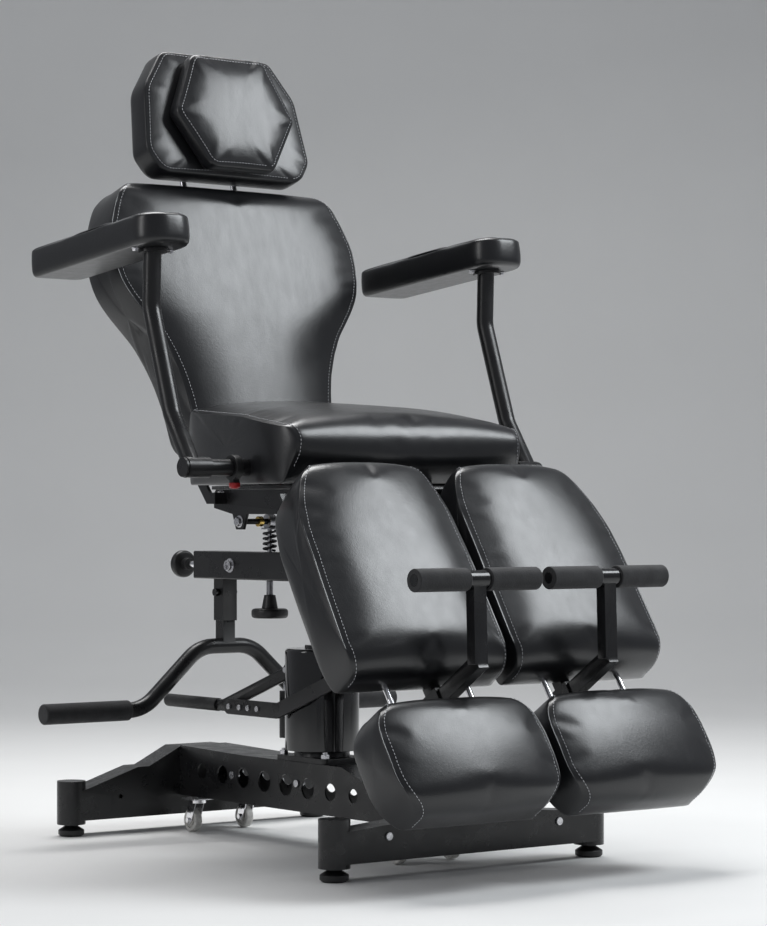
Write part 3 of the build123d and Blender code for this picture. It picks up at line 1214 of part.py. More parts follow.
for side_name, side in SIDES:
    with BuildPart() as arm_shaft:
        with BuildSketch(Plane.YZ.offset(side * ARM_SHAFT_START)):
            with Locations((ARM_Y, ARM_Z)):
                Circle(ARM_SHAFT)
        extrude(amount=side * (ARM_SHAFT_END - ARM_SHAFT_START))
        with BuildSketch(Plane.YZ.offset(side * (ARM_HUB_START - GAP - ARM_SHOULDER_WIDTH))):
            with Locations((ARM_Y, ARM_Z)):
                Circle(ARM_SHOULDER)
        extrude(amount=side * ARM_SHOULDER_WIDTH)
        with BuildSketch(Plane.YZ.offset(side * ARM_SHAFT_END)):
            with Locations((ARM_Y, ARM_Z)):
                Circle(ARM_CAP)
        extrude(amount=side * ARM_CAP_WIDTH)
    arm_shaft.part.label = f"armrest_shaft_{side_name}"
    write(arm_shaft.part, f"parts/armrest_shaft_{side_name}.step")

    with BuildPart() as arm_post:
        with BuildSketch(Plane.YZ.offset(side * ARM_HUB_START)):
            with Locations((ARM_Y, ARM_Z)):
                Circle(ARM_HUB)
        extrude(amount=side * (ARM_SHAFT_END - GAP - ARM_HUB_START))
        route = [(side * POST_X, ARM_Y, ARM_Z)] + [(side * POST_X, y, z) for y, z in POST_ROUTE]
        with BuildLine() as post_line:
            FilletPolyline(*route, radius=POST_BEND)
        with BuildSketch(Plane(origin=post_line.line @ 0, z_dir=post_line.line % 0)):
            Circle(ARM_POST)
        sweep()
        top_point = (side * POST_X, ARM_PAD_Y, ARM_PAD_LOW)
        with BuildSketch(Plane(origin=top_point, x_dir=(1, 0, 0), z_dir=pad_normal)):
            Circle(ARM_FLANGE)
        extrude(amount=-ARM_FLANGE_THICK)
        with BuildSketch(Plane(origin=top_point, x_dir=(1, 0, 0), z_dir=pad_normal)):
            Circle(ARM_PIN)
        extrude(amount=ARM_PIN_RISE)
        with BuildSketch(Plane.YZ.offset(side * ARM_SHAFT_START)):
            with Locations((ARM_Y, ARM_Z)):
                Circle(ARM_SHAFT + RUN)
        extrude(amount=side * ARM_SHAFT_END, mode=Mode.SUBTRACT)
    arm_post.part.label = f"armrest_post_{side_name}"
    write(arm_post.part, f"parts/armrest_post_{side_name}.step")

    pad_half = [(x * ARM_PAD_HALF, ARM_PAD_FRONT + y * ARM_PAD_LENGTH) for x, y in ARM_PAD_SHARES]
    pad_outline = pad_half + [(-x, y) for x, y in reversed(pad_half)]
    pad_base = Plane(origin=top_point, x_dir=(1, 0, 0), z_dir=pad_normal)
    with BuildPart() as arm_pad:
        for height, inset in ARM_PAD_SECTIONS:
            with BuildSketch(pad_base.offset(height)):
                with BuildLine():
                    Polyline(*drawn_in(pad_outline, inset), close=True)
                make_face()
        loft(ruled=True)
        with BuildSketch(pad_base):
            Circle(ARM_PIN + RUN)
        extrude(amount=ARM_PIN_RISE + GAP, mode=Mode.SUBTRACT)
    arm_pad.part.label = f"armrest_pad_{side_name}"
    write(arm_pad.part, f"parts/armrest_pad_{side_name}.step")

    lever_plane = Plane.YZ.offset(side * LEVER_START)
    lever_turn = radians(LEVER_ANGLE)
    lever_mid = (
        ARM_Y + LEVER_REACH / 2 * cos(lever_turn),
        ARM_Z + LEVER_REACH / 2 * sin(lever_turn),
    )
    with BuildPart() as lock_lever:
        with BuildSketch(lever_plane):
            with Locations((ARM_Y, ARM_Z)):
                Circle(LEVER_COLLAR)
            with Locations(lever_mid):
                SlotOverall(LEVER_REACH, LEVER_THICK, rotation=LEVER_ANGLE)
            with Locations((ARM_Y, ARM_Z)):
                Circle(RECEIVER + RUN, mode=Mode.SUBTRACT)
        extrude(amount=side * LEVER_WIDTH)
    lock_lever.part.label = f"lock_lever_{side_name}"
    write(lock_lever.part, f"parts/lock_lever_{side_name}.step")

# Leg rests: a hinged frame with a calf cushion, a sliding foot cushion, and a padded T-bar.
LEG_LEAN = 34.0
CALF_Y = -324.0
CALF_Z = 668.0
LEG_DEPTH = 94.0
CALF_WIDTH = 326.0
CALF_LENGTH = 388.0
CALF_SHARES = (
    (0.18, 0.0), (0.74, 0.0), (0.79, -0.027), (0.86, -0.08), (0.945, -0.2), (0.975, -0.348),
    (1.0, -0.882), (0.975, -0.957), (0.926, -0.995), (0.138, -1.0), (0.067, -0.963),
    (0.024, -0.882), (0.024, -0.575), (0.037, -0.254), (0.061, -0.16), (0.083, -0.075),
)
FOOT_DROP = 53.0
FOOT_TOP = -CALF_LENGTH - FOOT_DROP
FOOT_LENGTH = 187.0
FOOT_SHARES = (
    (0.15, 0.0), (0.87, 0.0), (0.95, -0.08), (1.0, -0.24), (1.0, -0.76), (0.95, -0.92),
    (0.87, -1.0), (0.15, -1.0), (0.06, -0.92), (0.025, -0.76), (0.025, -0.24), (0.06, -0.08),
)
LEG_SECTIONS = ((0.0, 50.0), (4.0, 24.0), (13.0, 7.0), (28.0, 0.0), (80.0, 1.0), (94.0, 9.0))
REAR_CHAMFER = 52.0
LEG_SLEEVE = 13.0
SLEEVE_START = 72.0
SLEEVE_END = 240.0
LEG_PLATE = 4.0
LEG_PLATE_START = 74.0
LEG_PLATE_END = 270.0
LEG_PLATE_TOP = -12.0
LEG_PLATE_RISE = 24.0
LEG_PLATE_LOW = LEG_PLATE_RISE - CALF_LENGTH
ROD_X = (80.0, 240.0)
SLIDE_ROD = 5.0
SLIDE_DEPTH = 65.0
GUIDE_RADIUS = 8.5
GUIDE_TOP = -200.0
GUIDE_RISE = 6.0
GUIDE_LOW = GUIDE_RISE - CALF_LENGTH
GUIDE_WEB = 7.0
CHANNEL_HALF = 11.0
SLIDE_ROD_TOP = -216.0
SLIDE_ROD_RISE = 14.0
SLIDE_ROD_LOW = FOOT_TOP - FOOT_LENGTH + SLIDE_ROD_RISE
FOOT_PLATE_INSET = 11.0
FOOT_PLATE_TOP = FOOT_TOP - FOOT_PLATE_INSET
FOOT_PLATE_LOW = FOOT_TOP - FOOT_LENGTH + FOOT_PLATE_INSET
FOOT_PLATE_START = 52.0
FOOT_PLATE_END = 284.0
T_X = 134.0
T_DROP = 27.0
T_UP = -CALF_LENGTH - T_DROP
STRUT_WIDE = 20.0
STRUT_TALL = 25.0
STRUT_FRONT = -44.0
STRUT_REAR = 124.0
SOCKET_WALL = 4.0
SOCKET_START = 62.0
SOCKET_END = 98.0
CENTRE_BAR = 20.0
CENTRE_BAR_RISE = 84.0
CENTRE_BAR_TOP = CENTRE_BAR_RISE - CALF_LENGTH
T_RISE = 83.0
T_AHEAD = 103.0
T_CENTRE_Y, T_CENTRE_Z = slope_point(CALF_Y, CALF_Z, LEG_LEAN, T_RISE - CALF_LENGTH, -T_AHEAD)
T_TUBE = 9.0
T_HALF = 121.0
T_COLLAR = 14.0
T_COLLAR_HALF = 20.0
FOAM_RADIUS = 18.0
leg_face = lean_plane(CALF_Y, CALF_Z, LEG_LEAN)
leg_plate_depth = LEG_DEPTH + GAP


def leg_point(across, up, depth):
    """Point at a place on the leg rests' face and a depth behind it."""
    y, z = slope_point(CALF_Y, CALF_Z, LEG_LEAN, up, depth)
    return (across, y, z)


for side_name, side in SIDES:
    with BuildPart() as leg_frame:
        with BuildSketch(Plane.YZ.offset(side * SLEEVE_START)):
            with Locations((LEG_Y, LEG_Z)):
                Circle(LEG_SLEEVE)
        extrude(amount=side * (SLEEVE_END - SLEEVE_START))
        plate_mid_x = side * (LEG_PLATE_START + LEG_PLATE_END) / 2
        with BuildSketch(leg_face.offset(-leg_plate_depth)):
            with Locations((plate_mid_x, (LEG_PLATE_TOP + LEG_PLATE_LOW) / 2)):
                Rectangle(LEG_PLATE_END - LEG_PLATE_START, LEG_PLATE_TOP - LEG_PLATE_LOW)
        extrude(amount=-LEG_PLATE)
        for rod_x in ROD_X:
            with BuildSketch(leg_face.offset(-SLIDE_DEPTH)):
                with Locations((side * rod_x, (GUIDE_TOP + LEG_PLATE_LOW) / 2)):
                    Rectangle(GUIDE_WEB, GUIDE_TOP - LEG_PLATE_LOW)
            extrude(amount=SLIDE_DEPTH - leg_plate_depth)
            with BuildSketch(Plane(origin=leg_point(side * rod_x, GUIDE_LOW, SLIDE_DEPTH),
                                   x_dir=(1, 0, 0), z_dir=leg_face.y_dir)):
                Circle(GUIDE_RADIUS)
            extrude(amount=GUIDE_TOP - GUIDE_LOW)
            with BuildSketch(Plane(origin=leg_point(side * rod_x, GUIDE_LOW, SLIDE_DEPTH),
                                   x_dir=(1, 0, 0), z_dir=leg_face.y_dir)):
                Circle(SLIDE_ROD + RUN)
            extrude(amount=GUIDE_TOP - GUIDE_LOW, mode=Mode.SUBTRACT)
        with BuildSketch(leg_face.offset(-leg_plate_depth)):
            with Locations((side * T_X, (CENTRE_BAR_TOP + T_UP) / 2)):
                Rectangle(CENTRE_BAR, CENTRE_BAR_TOP - T_UP)
        extrude(amount=CENTRE_BAR)
        with BuildSketch(leg_face.offset(-SOCKET_START)):
            with Locations((side * T_X, T_UP)):
                Rectangle(STRUT_WIDE + 2 * SOCKET_WALL, STRUT_TALL + 2 * SOCKET_WALL)
        extrude(amount=SOCKET_START - SOCKET_END)
        with BuildSketch(leg_face.offset(-SOCKET_START + OVERRUN)):
            with Locations((side * T_X, T_UP)):
                Rectangle(STRUT_WIDE + 4 * RUN, STRUT_TALL + 4 * RUN)
        extrude(amount=SOCKET_START - SOCKET_END - 2 * OVERRUN, mode=Mode.SUBTRACT)
        with BuildSketch(Plane.YZ.offset(side * SLEEVE_START)):
            with Locations((LEG_Y, LEG_Z)):
                Circle(LEG_SHAFT + RUN)
        extrude(amount=side * SLEEVE_END, mode=Mode.SUBTRACT)
    leg_frame.part.label = f"leg_frame_{side_name}"
    write(leg_frame.part, f"parts/leg_frame_{side_name}.step")

    calf_outline = [(side * x * CALF_WIDTH, y * CALF_LENGTH) for x, y in CALF_SHARES]
    with BuildPart() as calf_pad:
        for depth, inset in LEG_SECTIONS:
            with BuildSketch(leg_face.offset(-depth)):
                with BuildLine():
                    Polyline(*drawn_in(calf_outline, inset), close=True)
                make_face()
        loft(ruled=True)
        with BuildSketch(Plane.YZ.offset(-side * OVERRUN)):
            with BuildLine():
                Polyline(
                    leg_point(0, OVERRUN, LEG_DEPTH - REAR_CHAMFER - OVERRUN)[1:],
                    leg_point(0, -REAR_CHAMFER - OVERRUN, LEG_DEPTH + OVERRUN)[1:],
                    leg_point(0, OVERRUN, LEG_DEPTH + OVERRUN)[1:],
                    close=True,
                )
            make_face()
        extrude(amount=side * (CALF_WIDTH + 2 * OVERRUN), mode=Mode.SUBTRACT)
        for rod_x in ROD_X:
            with BuildSketch(leg_face.offset(-SLIDE_DEPTH + CHANNEL_HALF)):
                with Locations((side * rod_x, (GUIDE_TOP - CALF_LENGTH) / 2)):
                    Rectangle(2 * CHANNEL_HALF, CALF_LENGTH + GUIDE_TOP + 2 * CHANNEL_HALF)
            extrude(amount=-LEG_DEPTH, mode=Mode.SUBTRACT)
        with BuildSketch(leg_face.offset(-leg_plate_depth + CENTRE_BAR + SOFT_GAP)):
            with Locations((side * T_X, (CENTRE_BAR_TOP - CALF_LENGTH) / 2)):
                Rectangle(CENTRE_BAR + 2 * SOFT_GAP, CALF_LENGTH + CENTRE_BAR_TOP + 2 * CHANNEL_HALF)
        extrude(amount=-LEG_DEPTH, mode=Mode.SUBTRACT)
    calf_pad.part.label = f"calf_pad_{side_name}"
    write(calf_pad.part, f"parts/calf_pad_{side_name}.step")

    with BuildPart() as foot_slide:
        foot_mid_x = side * (FOOT_PLATE_START + FOOT_PLATE_END) / 2
        with BuildSketch(leg_face.offset(-leg_plate_depth)):
            with Locations((foot_mid_x, (FOOT_PLATE_TOP + FOOT_PLATE_LOW) / 2)):
                RectangleRounded(FOOT_PLATE_END - FOOT_PLATE_START, FOOT_PLATE_TOP - FOOT_PLATE_LOW, SHEET)
        extrude(amount=-LEG_PLATE)
        for rod_x in ROD_X:
            with BuildSketch(leg_face.offset(-SLIDE_DEPTH)):
                with Locations((side * rod_x, (FOOT_PLATE_TOP + SLIDE_ROD_LOW) / 2)):
                    Rectangle(GUIDE_WEB, FOOT_PLATE_TOP - SLIDE_ROD_LOW)
            extrude(amount=SLIDE_DEPTH - leg_plate_depth)
            with BuildSketch(Plane(origin=leg_point(side * rod_x, SLIDE_ROD_LOW, SLIDE_DEPTH),
                                   x_dir=(1, 0, 0), z_dir=leg_face.y_dir)):
                Circle(SLIDE_ROD)
            extrude(amount=SLIDE_ROD_TOP - SLIDE_ROD_LOW)
    foot_slide.part.label = f"foot_slide_{side_name}"
    write(foot_slide.part, f"parts/foot_slide_{side_name}.step")

    foot_outline = [(side * x * CALF_WIDTH, FOOT_TOP + y * FOOT_LENGTH) for x, y in FOOT_SHARES]
    with BuildPart() as foot_pad:
        for depth, inset in LEG_SECTIONS:
            with BuildSketch(leg_face.offset(-depth)):
                with BuildLine():
                    Polyline(*drawn_in(foot_outline, inset), close=True)
                make_face()
        loft(ruled=True)
        for rod_x in ROD_X:
            with BuildSketch(leg_face.offset(-SLIDE_DEPTH + CHANNEL_HALF)):
                with Locations((side * rod_x, (FOOT_TOP + SLIDE_ROD_LOW) / 2)):
                    Rectangle(2 * CHANNEL_HALF, FOOT_TOP - SLIDE_ROD_LOW + 2 * SOFT_GAP)
            extrude(amount=-LEG_DEPTH, mode=Mode.SUBTRACT)
    foot_pad.part.label = f"foot_pad_{side_name}"
    write(foot_pad.part, f"parts/foot_pad_{side_name}.step")

    stem_low = leg_point(side * T_X, T_UP, STRUT_FRONT + STRUT_WIDE / 2)
    stem_high = (side * T_X, T_CENTRE_Y, T_CENTRE_Z)
    stem_vector = tuple(b - a for a, b in zip(stem_low, stem_high))
    with BuildPart() as t_bar:
        with BuildSketch(leg_face.offset(-STRUT_FRONT)):
            with Locations((side * T_X, T_UP)):
                Rectangle(STRUT_WIDE, STRUT_TALL)
        extrude(amount=STRUT_FRONT - STRUT_REAR)
        with BuildSketch(Plane(origin=stem_low, x_dir=(1, 0, 0), z_dir=stem_vector)):
            Rectangle(STRUT_TALL, STRUT_WIDE)
        extrude(amount=hypot(*stem_vector))
        with BuildSketch(Plane.YZ.offset(side * T_X - T_HALF)):
            with Locations((T_CENTRE_Y, T_CENTRE_Z)):
                Circle(T_TUBE)
        extrude(amount=2 * T_HALF)
        with BuildSketch(Plane.YZ.offset(side * T_X - T_COLLAR_HALF)):
            with Locations((T_CENTRE_Y, T_CENTRE_Z)):
                Circle(T_COLLAR)
        extrude(amount=2 * T_COLLAR_HALF)
    t_bar.part.label = f"t_bar_{side_name}"
    write(t_bar.part, f"parts/t_bar_{side_name}.step")

    with BuildPart() as foam_rollers:
        for start, end in ((-T_HALF, -T_COLLAR_HALF - GAP), (T_COLLAR_HALF + GAP, T_HALF)):
            with BuildSketch(Plane.YZ.offset(side * T_X + start)):
                with Locations((T_CENTRE_Y, T_CENTRE_Z)):
                    Circle(FOAM_RADIUS)
                    Circle(T_TUBE + RUN, mode=Mode.SUBTRACT)
            extrude(amount=end - start)
    foam_rollers.part.label = f"foam_rollers_{side_name}"
    write(foam_rollers.part, f"parts/foam_rollers_{side_name}.step")
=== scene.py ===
import json
from math import cos, pi, radians, sin

import bmesh
import bpy
import numpy as np
from mathutils import Matrix


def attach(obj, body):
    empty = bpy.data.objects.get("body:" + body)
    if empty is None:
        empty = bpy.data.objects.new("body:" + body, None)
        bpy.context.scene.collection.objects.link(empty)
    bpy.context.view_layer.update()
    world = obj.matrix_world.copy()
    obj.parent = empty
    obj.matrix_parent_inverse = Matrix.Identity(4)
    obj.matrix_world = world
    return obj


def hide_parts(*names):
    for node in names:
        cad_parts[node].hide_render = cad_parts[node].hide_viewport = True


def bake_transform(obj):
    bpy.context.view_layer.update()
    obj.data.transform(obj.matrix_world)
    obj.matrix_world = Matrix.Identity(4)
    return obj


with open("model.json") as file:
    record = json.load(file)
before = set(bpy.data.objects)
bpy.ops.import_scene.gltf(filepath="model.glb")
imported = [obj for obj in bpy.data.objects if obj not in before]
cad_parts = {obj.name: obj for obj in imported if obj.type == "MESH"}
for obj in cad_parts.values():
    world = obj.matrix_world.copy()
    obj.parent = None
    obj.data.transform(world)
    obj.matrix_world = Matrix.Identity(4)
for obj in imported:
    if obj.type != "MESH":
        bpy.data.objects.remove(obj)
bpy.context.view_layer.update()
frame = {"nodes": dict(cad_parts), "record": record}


# Base frame: folded and welded sheet steel under black powder coat. The spine carries the pump, and a
# crossbar with a post at each end is bolted across each end of it. Folding leaves its edges softly round.
rides_on = {n: b for b, ns in frame["record"]["behaviour"]["bodies"].items() for n in ns}


def new_finish(name, colour, roughness, metal=0.0):
    """Material with a Principled shader whose plain values sit on its own sockets."""
    finish = bpy.data.materials.new(name)
    finish.use_nodes = True
    shader = finish.node_tree.nodes["Principled BSDF"]
    shader.inputs["Base Color"].default_value = (*colour, 1.0)
    shader.inputs["Roughness"].default_value = roughness
    shader.inputs["Metallic"].default_value = metal
    return finish, finish.node_tree, shader


def noise(tree, scale, detail=3.0, stretch=(1.0, 1.0, 1.0)):
    """Noise on the piece's own metres, its cells stretched along the axes."""
    place = tree.nodes.new("ShaderNodeTexCoord")
    turn = tree.nodes.new("ShaderNodeMapping")
    turn.inputs["Scale"].default_value = stretch
    tree.links.new(place.outputs["Object"], turn.inputs["Vector"])
    grain = tree.nodes.new("ShaderNodeTexNoise")
    grain.inputs["Scale"].default_value = scale
    grain.inputs["Detail"].default_value = detail
    tree.links.new(turn.outputs["Vector"], grain.inputs["Vector"])
    return grain.outputs["Fac"]


def spread(tree, value, low, high, start=0.3, end=0.7):
    """Value between start and end mapped to low and high."""
    ramp = tree.nodes.new("ShaderNodeMapRange")
    ramp.inputs["From Min"].default_value = start
    ramp.inputs["From Max"].default_value = end
    ramp.inputs["To Min"].default_value = low
    ramp.inputs["To Max"].default_value = high
    tree.links.new(value, ramp.inputs["Value"])
    return ramp.outputs["Result"]


def tinted(tree, value, dark, light):
    """Colour between two tones, by a value from 0 to 1."""
    mix = tree.nodes.new("ShaderNodeMix")
    mix.data_type = "RGBA"
    mix.inputs["A"].default_value = (*dark, 1.0)
    mix.inputs["B"].default_value = (*light, 1.0)
    tree.links.new(value, mix.inputs["Factor"])
    return mix.outputs["Result"]


def relief(tree, shader, height, distance, strength=1.0, under=None):
    """Bump of a height in metres on the shader, over another bump if one is given."""
    bump = tree.nodes.new("ShaderNodeBump")
    bump.inputs["Strength"].default_value = strength
    bump.inputs["Distance"].default_value = distance
    tree.links.new(height, bump.inputs["Height"])
    if under is not None:
        tree.links.new(under, bump.inputs["Normal"])
    tree.links.new(bump.outputs["Normal"], shader.inputs["Normal"])
    return bump.outputs["Normal"]


def powder_coat(name, colour, light, roughness, orange_peel=0.00012):
    """Baked powder: an even black with a fine orange peel and faint cloudy gloss."""
    finish, tree, shader = new_finish(name, colour, roughness)
    cloud = spread(tree, noise(tree, 9.0), 0.0, 1.0)
    tree.links.new(tinted(tree, cloud, colour, light), shader.inputs["Base Color"])
    gloss = spread(tree, noise(tree, 35.0), roughness - 0.06, roughness + 0.08)
    tree.links.new(gloss, shader.inputs["Roughness"])
    relief(tree, shader, noise(tree, 900.0, 1.0), orange_peel)
    return finish


def machined(node, finish, edge, angle=35.0, rides=True):
    """Copy of a CAD node welded into one skin, with its flats merged.

    Edges sharper than the angle are rounded by a bevel as wide as edge, unless edge is 0.
    """
    mesh = frame["nodes"][node].data.copy()
    skin = bmesh.new()
    skin.from_mesh(mesh)
    bmesh.ops.remove_doubles(skin, verts=skin.verts, dist=0.000002)
    bmesh.ops.dissolve_limit(skin, angle_limit=radians(0.6), verts=skin.verts, edges=skin.edges)
    skin.to_mesh(mesh)
    skin.free()
    mesh.materials.clear()
    mesh.materials.append(finish)
    mesh.polygons.foreach_set("use_smooth", np.ones(len(mesh.polygons), dtype=bool))
    mesh.set_sharp_from_angle(angle=radians(angle))
    piece = bpy.data.objects.new(node + "_finished", mesh)
    bpy.context.scene.collection.objects.link(piece)
    if edge:
        rounding = piece.modifiers.new("broken edge", "BEVEL")
        rounding.width = edge
        rounding.segments = 2
        rounding.limit_method = "ANGLE"
        rounding.angle_limit = radians(angle)
        rounding.harden_normals = True
    if rides:
        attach(piece, rides_on[node])
    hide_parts(node)
    return piece


frame_black = powder_coat("frame powder coat", (0.007, 0.007, 0.0075), (0.011, 0.011, 0.012), 0.3)
for node in ("base_spine", "front_crossbar", "rear_crossbar"):
    machined(node, frame_black, 0.0016)

# Frame fasteners: zinc-plated cap screws in the folds of the base, the pump's four studs with nuts, and
# the plates that hold the casters. The plating is pale and slightly cloudy.
zinc, zinc_tree, zinc_shader = new_finish("zinc plating", (0.62, 0.62, 0.64), 0.3, 1.0)
zinc_gloss = spread(zinc_tree, noise(zinc_tree, 260.0), 0.2, 0.42)
zinc_tree.links.new(zinc_gloss, zinc_shader.inputs["Roughness"])
relief(zinc_tree, zinc_shader, noise(zinc_tree, 1200.0), 0.00006)
for node in ("frame_fasteners", "caster_plates"):
    machined(node, zinc, 0.0005)

# Levelling feet: a moulded black disc on a threaded stem, one screwed up into each corner post.
moulded, moulded_tree, moulded_shader = new_finish("moulded black plastic", (0.009, 0.009, 0.0095), 0.4)
moulded_gloss = spread(moulded_tree, noise(moulded_tree, 60.0), 0.32, 0.48)
moulded_tree.links.new(moulded_gloss, moulded_shader.inputs["Roughness"])
relief(moulded_tree, moulded_shader, noise(moulded_tree, 1500.0, 1.0), 0.00008)
machined("levelling_feet", moulded, 0.001)

# Casters: a chromed fork under each plate and a hard grey-white wheel on its axle bolt. They let the
# chair be wheeled once it is tipped off its feet.
chrome, chrome_tree, chrome_shader = new_finish("chrome plating", (0.78, 0.78, 0.80), 0.08, 1.0)
chrome_gloss = spread(chrome_tree, noise(chrome_tree, 70.0), 0.05, 0.16)
chrome_tree.links.new(chrome_gloss, chrome_shader.inputs["Roughness"])
relief(chrome_tree, chrome_shader, noise(chrome_tree, 500.0), 0.00002)
wheel_white, wheel_tree, wheel_shader = new_finish("caster wheel nylon", (0.62, 0.61, 0.58), 0.4)
wheel_dirt = spread(wheel_tree, noise(wheel_tree, 140.0, 5.0), 0.0, 1.0)
wheel_tree.links.new(
    tinted(wheel_tree, wheel_dirt, (0.42, 0.41, 0.39), (0.68, 0.67, 0.64)),
    wheel_shader.inputs["Base Color"],
)
relief(wheel_tree, wheel_shader, noise(wheel_tree, 800.0), 0.0001)
for end in ("front", "rear"):
    for side in ("right", "left"):
        machined(f"caster_fork_{end}_{side}", chrome, 0.0005)
        machined(f"caster_wheel_{end}_{side}", wheel_white, 0.0004)

# Pump: a gloss black housing over the cylinder, a ground and chromed piston, and the cast bracket that
# carries the pedal's pin and the plunger barrel.
gloss_black, gloss_tree, gloss_shader = new_finish("gloss enamel", (0.005, 0.005, 0.0055), 0.08)
gloss_shader.inputs["Coat Weight"].default_value = 0.5
gloss_shader.inputs["Coat Roughness"].default_value = 0.06
enamel_gloss = spread(gloss_tree, noise(gloss_tree, 18.0), 0.05, 0.12)
gloss_tree.links.new(enamel_gloss, gloss_shader.inputs["Roughness"])
relief(gloss_tree, gloss_shader, noise(gloss_tree, 160.0), 0.00003)
machined("pump_housing", gloss_black, 0.001)
machined("pump_cylinder", frame_black, 0.001)
machined("lever_bracket", frame_black, 0.0012)
machined("lift_piston", chrome, 0.0)
machined("pump_plunger", chrome, 0.0)

# Pedal: a forged lever with a flat bar bolted along it, both powder coated. Each ends in a rod under a
# rubber sleeve, one for a foot in front of the pump and one behind it.
rubber, rubber_tree, rubber_shader = new_finish("sleeve rubber", (0.011, 0.011, 0.012), 0.62)
rubber_dust = spread(rubber_tree, noise(rubber_tree, 120.0, 5.0), 0.0, 1.0)
rubber_tree.links.new(
    tinted(rubber_tree, rubber_dust, (0.009, 0.009, 0.01), (0.022, 0.022, 0.023)),
    rubber_shader.inputs["Base Color"],
)
relief(rubber_tree, rubber_shader, noise(rubber_tree, 700.0), 0.0003)
machined("pump_lever", frame_black, 0.0014)
machined("front_pedal_bar", frame_black, 0.0008)
machined("pedal_sleeves", rubber, 0.001)
machined("pedal_fasteners", zinc, 0.0005)

# Beam: a welded square tube on the piston's socket, with the tilt lugs in front, the hanger tube behind,
# and a clamp knob on a bright stem in its rear end. A socket-head bolt goes through it at the hanger.
def skinned(name, points, faces, finish):
    """Mesh object from points and faces, with its faces turned outwards and shaded smooth."""
    mesh = bpy.data.meshes.new(name)
    mesh.from_pydata(points.tolist(), [], [[int(i) for i in face] for face in faces])
    skin = bmesh.new()
    skin.from_mesh(mesh)
    bmesh.ops.recalc_face_normals(skin, faces=skin.faces)
    skin.to_mesh(mesh)
    skin.free()
    mesh.materials.append(finish)
    mesh.polygons.foreach_set("use_smooth", np.ones(len(mesh.polygons), dtype=bool))
    piece = bpy.data.objects.new(name, mesh)
    bpy.context.scene.collection.objects.link(piece)
    return piece


def grid_faces(rows, columns, first=0, closed=True):
    """Four-cornered faces of a grid stored row by row, its rows joined up into a ring if closed."""
    here = np.arange(rows if closed else rows - 1)
    there = (here + 1) % rows
    across = np.arange(columns - 1)
    near = first + here[:, None] * columns + across
    far = first + there[:, None] * columns + across
    return np.stack((near, near + 1, far + 1, far), axis=-1).reshape(-1, 4)


def turned(name, node, finish, start, way, rings, sides=32):
    """Round or, with six sides, hexagonal piece: rings of (distance, radius) along a way, ends flat."""
    way = np.array(way, dtype=float)
    aside = np.cross(way, (0.0, 0.6, 0.8))
    aside /= np.linalg.norm(aside)
    turn = np.arange(sides) * 2 * pi / sides
    ring = np.cos(turn)[:, None] * aside + np.sin(turn)[:, None] * np.cross(way, aside)
    along, radius = np.array(rings).T
    spot = start + along[None, :, None] * way + radius[None, :, None] * ring[:, None]
    faces = list(grid_faces(sides, len(rings)))
    faces += [np.arange(sides) * len(rings), np.arange(sides) * len(rings) + len(rings) - 1]
    piece = skinned(name, spot.reshape(-1, 3), faces, finish)
    piece.data.set_sharp_from_angle(angle=radians(30.0))
    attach(piece, rides_on[node])


def bolt_head(name, node, place, way, size):
    """Zinc-plated hexagon head with a chamfered rim on a thin washer."""
    seat = 0.0012
    washer = [(0.0, size * 1.25), (0.001, size * 1.25), (seat, size * 1.2)]
    turned(name + "_washer", node, zinc, place, way, washer)
    rim = [(seat, size), (seat + size * 0.62, size), (seat + size * 0.75, size * 0.86)]
    turned(name, node, zinc, place, way, rim, 6)


machined("main_beam", frame_black, 0.0012)
machined("beam_fasteners", zinc, 0.0006)
machined("end_knob", moulded, 0.0008)
beam_mid_z, beam_face_x, beam_end_y, beam_bolt_y = 0.480, 0.0252, 0.4715, 0.353
stem_rings = [(0.0, 0.0092), (0.0008, 0.0098), (0.012, 0.0098), (0.0125, 0.0062), (0.0478, 0.0062)]
stem_place = (0.0, beam_end_y, beam_mid_z)
turned("end_knob_stem", "end_knob", chrome, stem_place, (0, 1, 0), stem_rings)
socket_rings = [(0.0, 0.0128), (0.0016, 0.0128), (0.0018, 0.0098), (0.0072, 0.0098), (0.0078, 0.0092),
                (0.0078, 0.0062), (0.003, 0.0058), (0.003, 0.0004)]
for side, sign in (("right", -1), ("left", 1)):
    place = (sign * beam_face_x, beam_bolt_y, beam_mid_z)
    turned(f"beam_bolt_rim_{side}", "main_beam", zinc, place, (sign, 0, 0), socket_rings)

# Arch bar: one bent tube whose square upright slides in the hanger, with a dense foam grip on each end
# for the artist's feet, and a spring pin that locks its height.
foam, foam_tree, foam_shader = new_finish("dense black foam", (0.012, 0.012, 0.013), 0.86)
foam_tone = spread(foam_tree, noise(foam_tree, 45.0, 4.0), 0.0, 1.0)
foam_tree.links.new(
    tinted(foam_tree, foam_tone, (0.011, 0.011, 0.012), (0.024, 0.024, 0.026)),
    foam_shader.inputs["Base Color"],
)
foam_shader.inputs["Sheen Weight"].default_value = 0.15
foam_shader.inputs["Sheen Roughness"].default_value = 0.5
relief(foam_tree, foam_shader, noise(foam_tree, 420.0, 5.0), 0.0009, 0.8)
machined("arch_bar", frame_black, 0.0, angle=19.0)
machined("foot_grips", foam, 0.001)
machined("lock_pin", gloss_black, 0.0006)

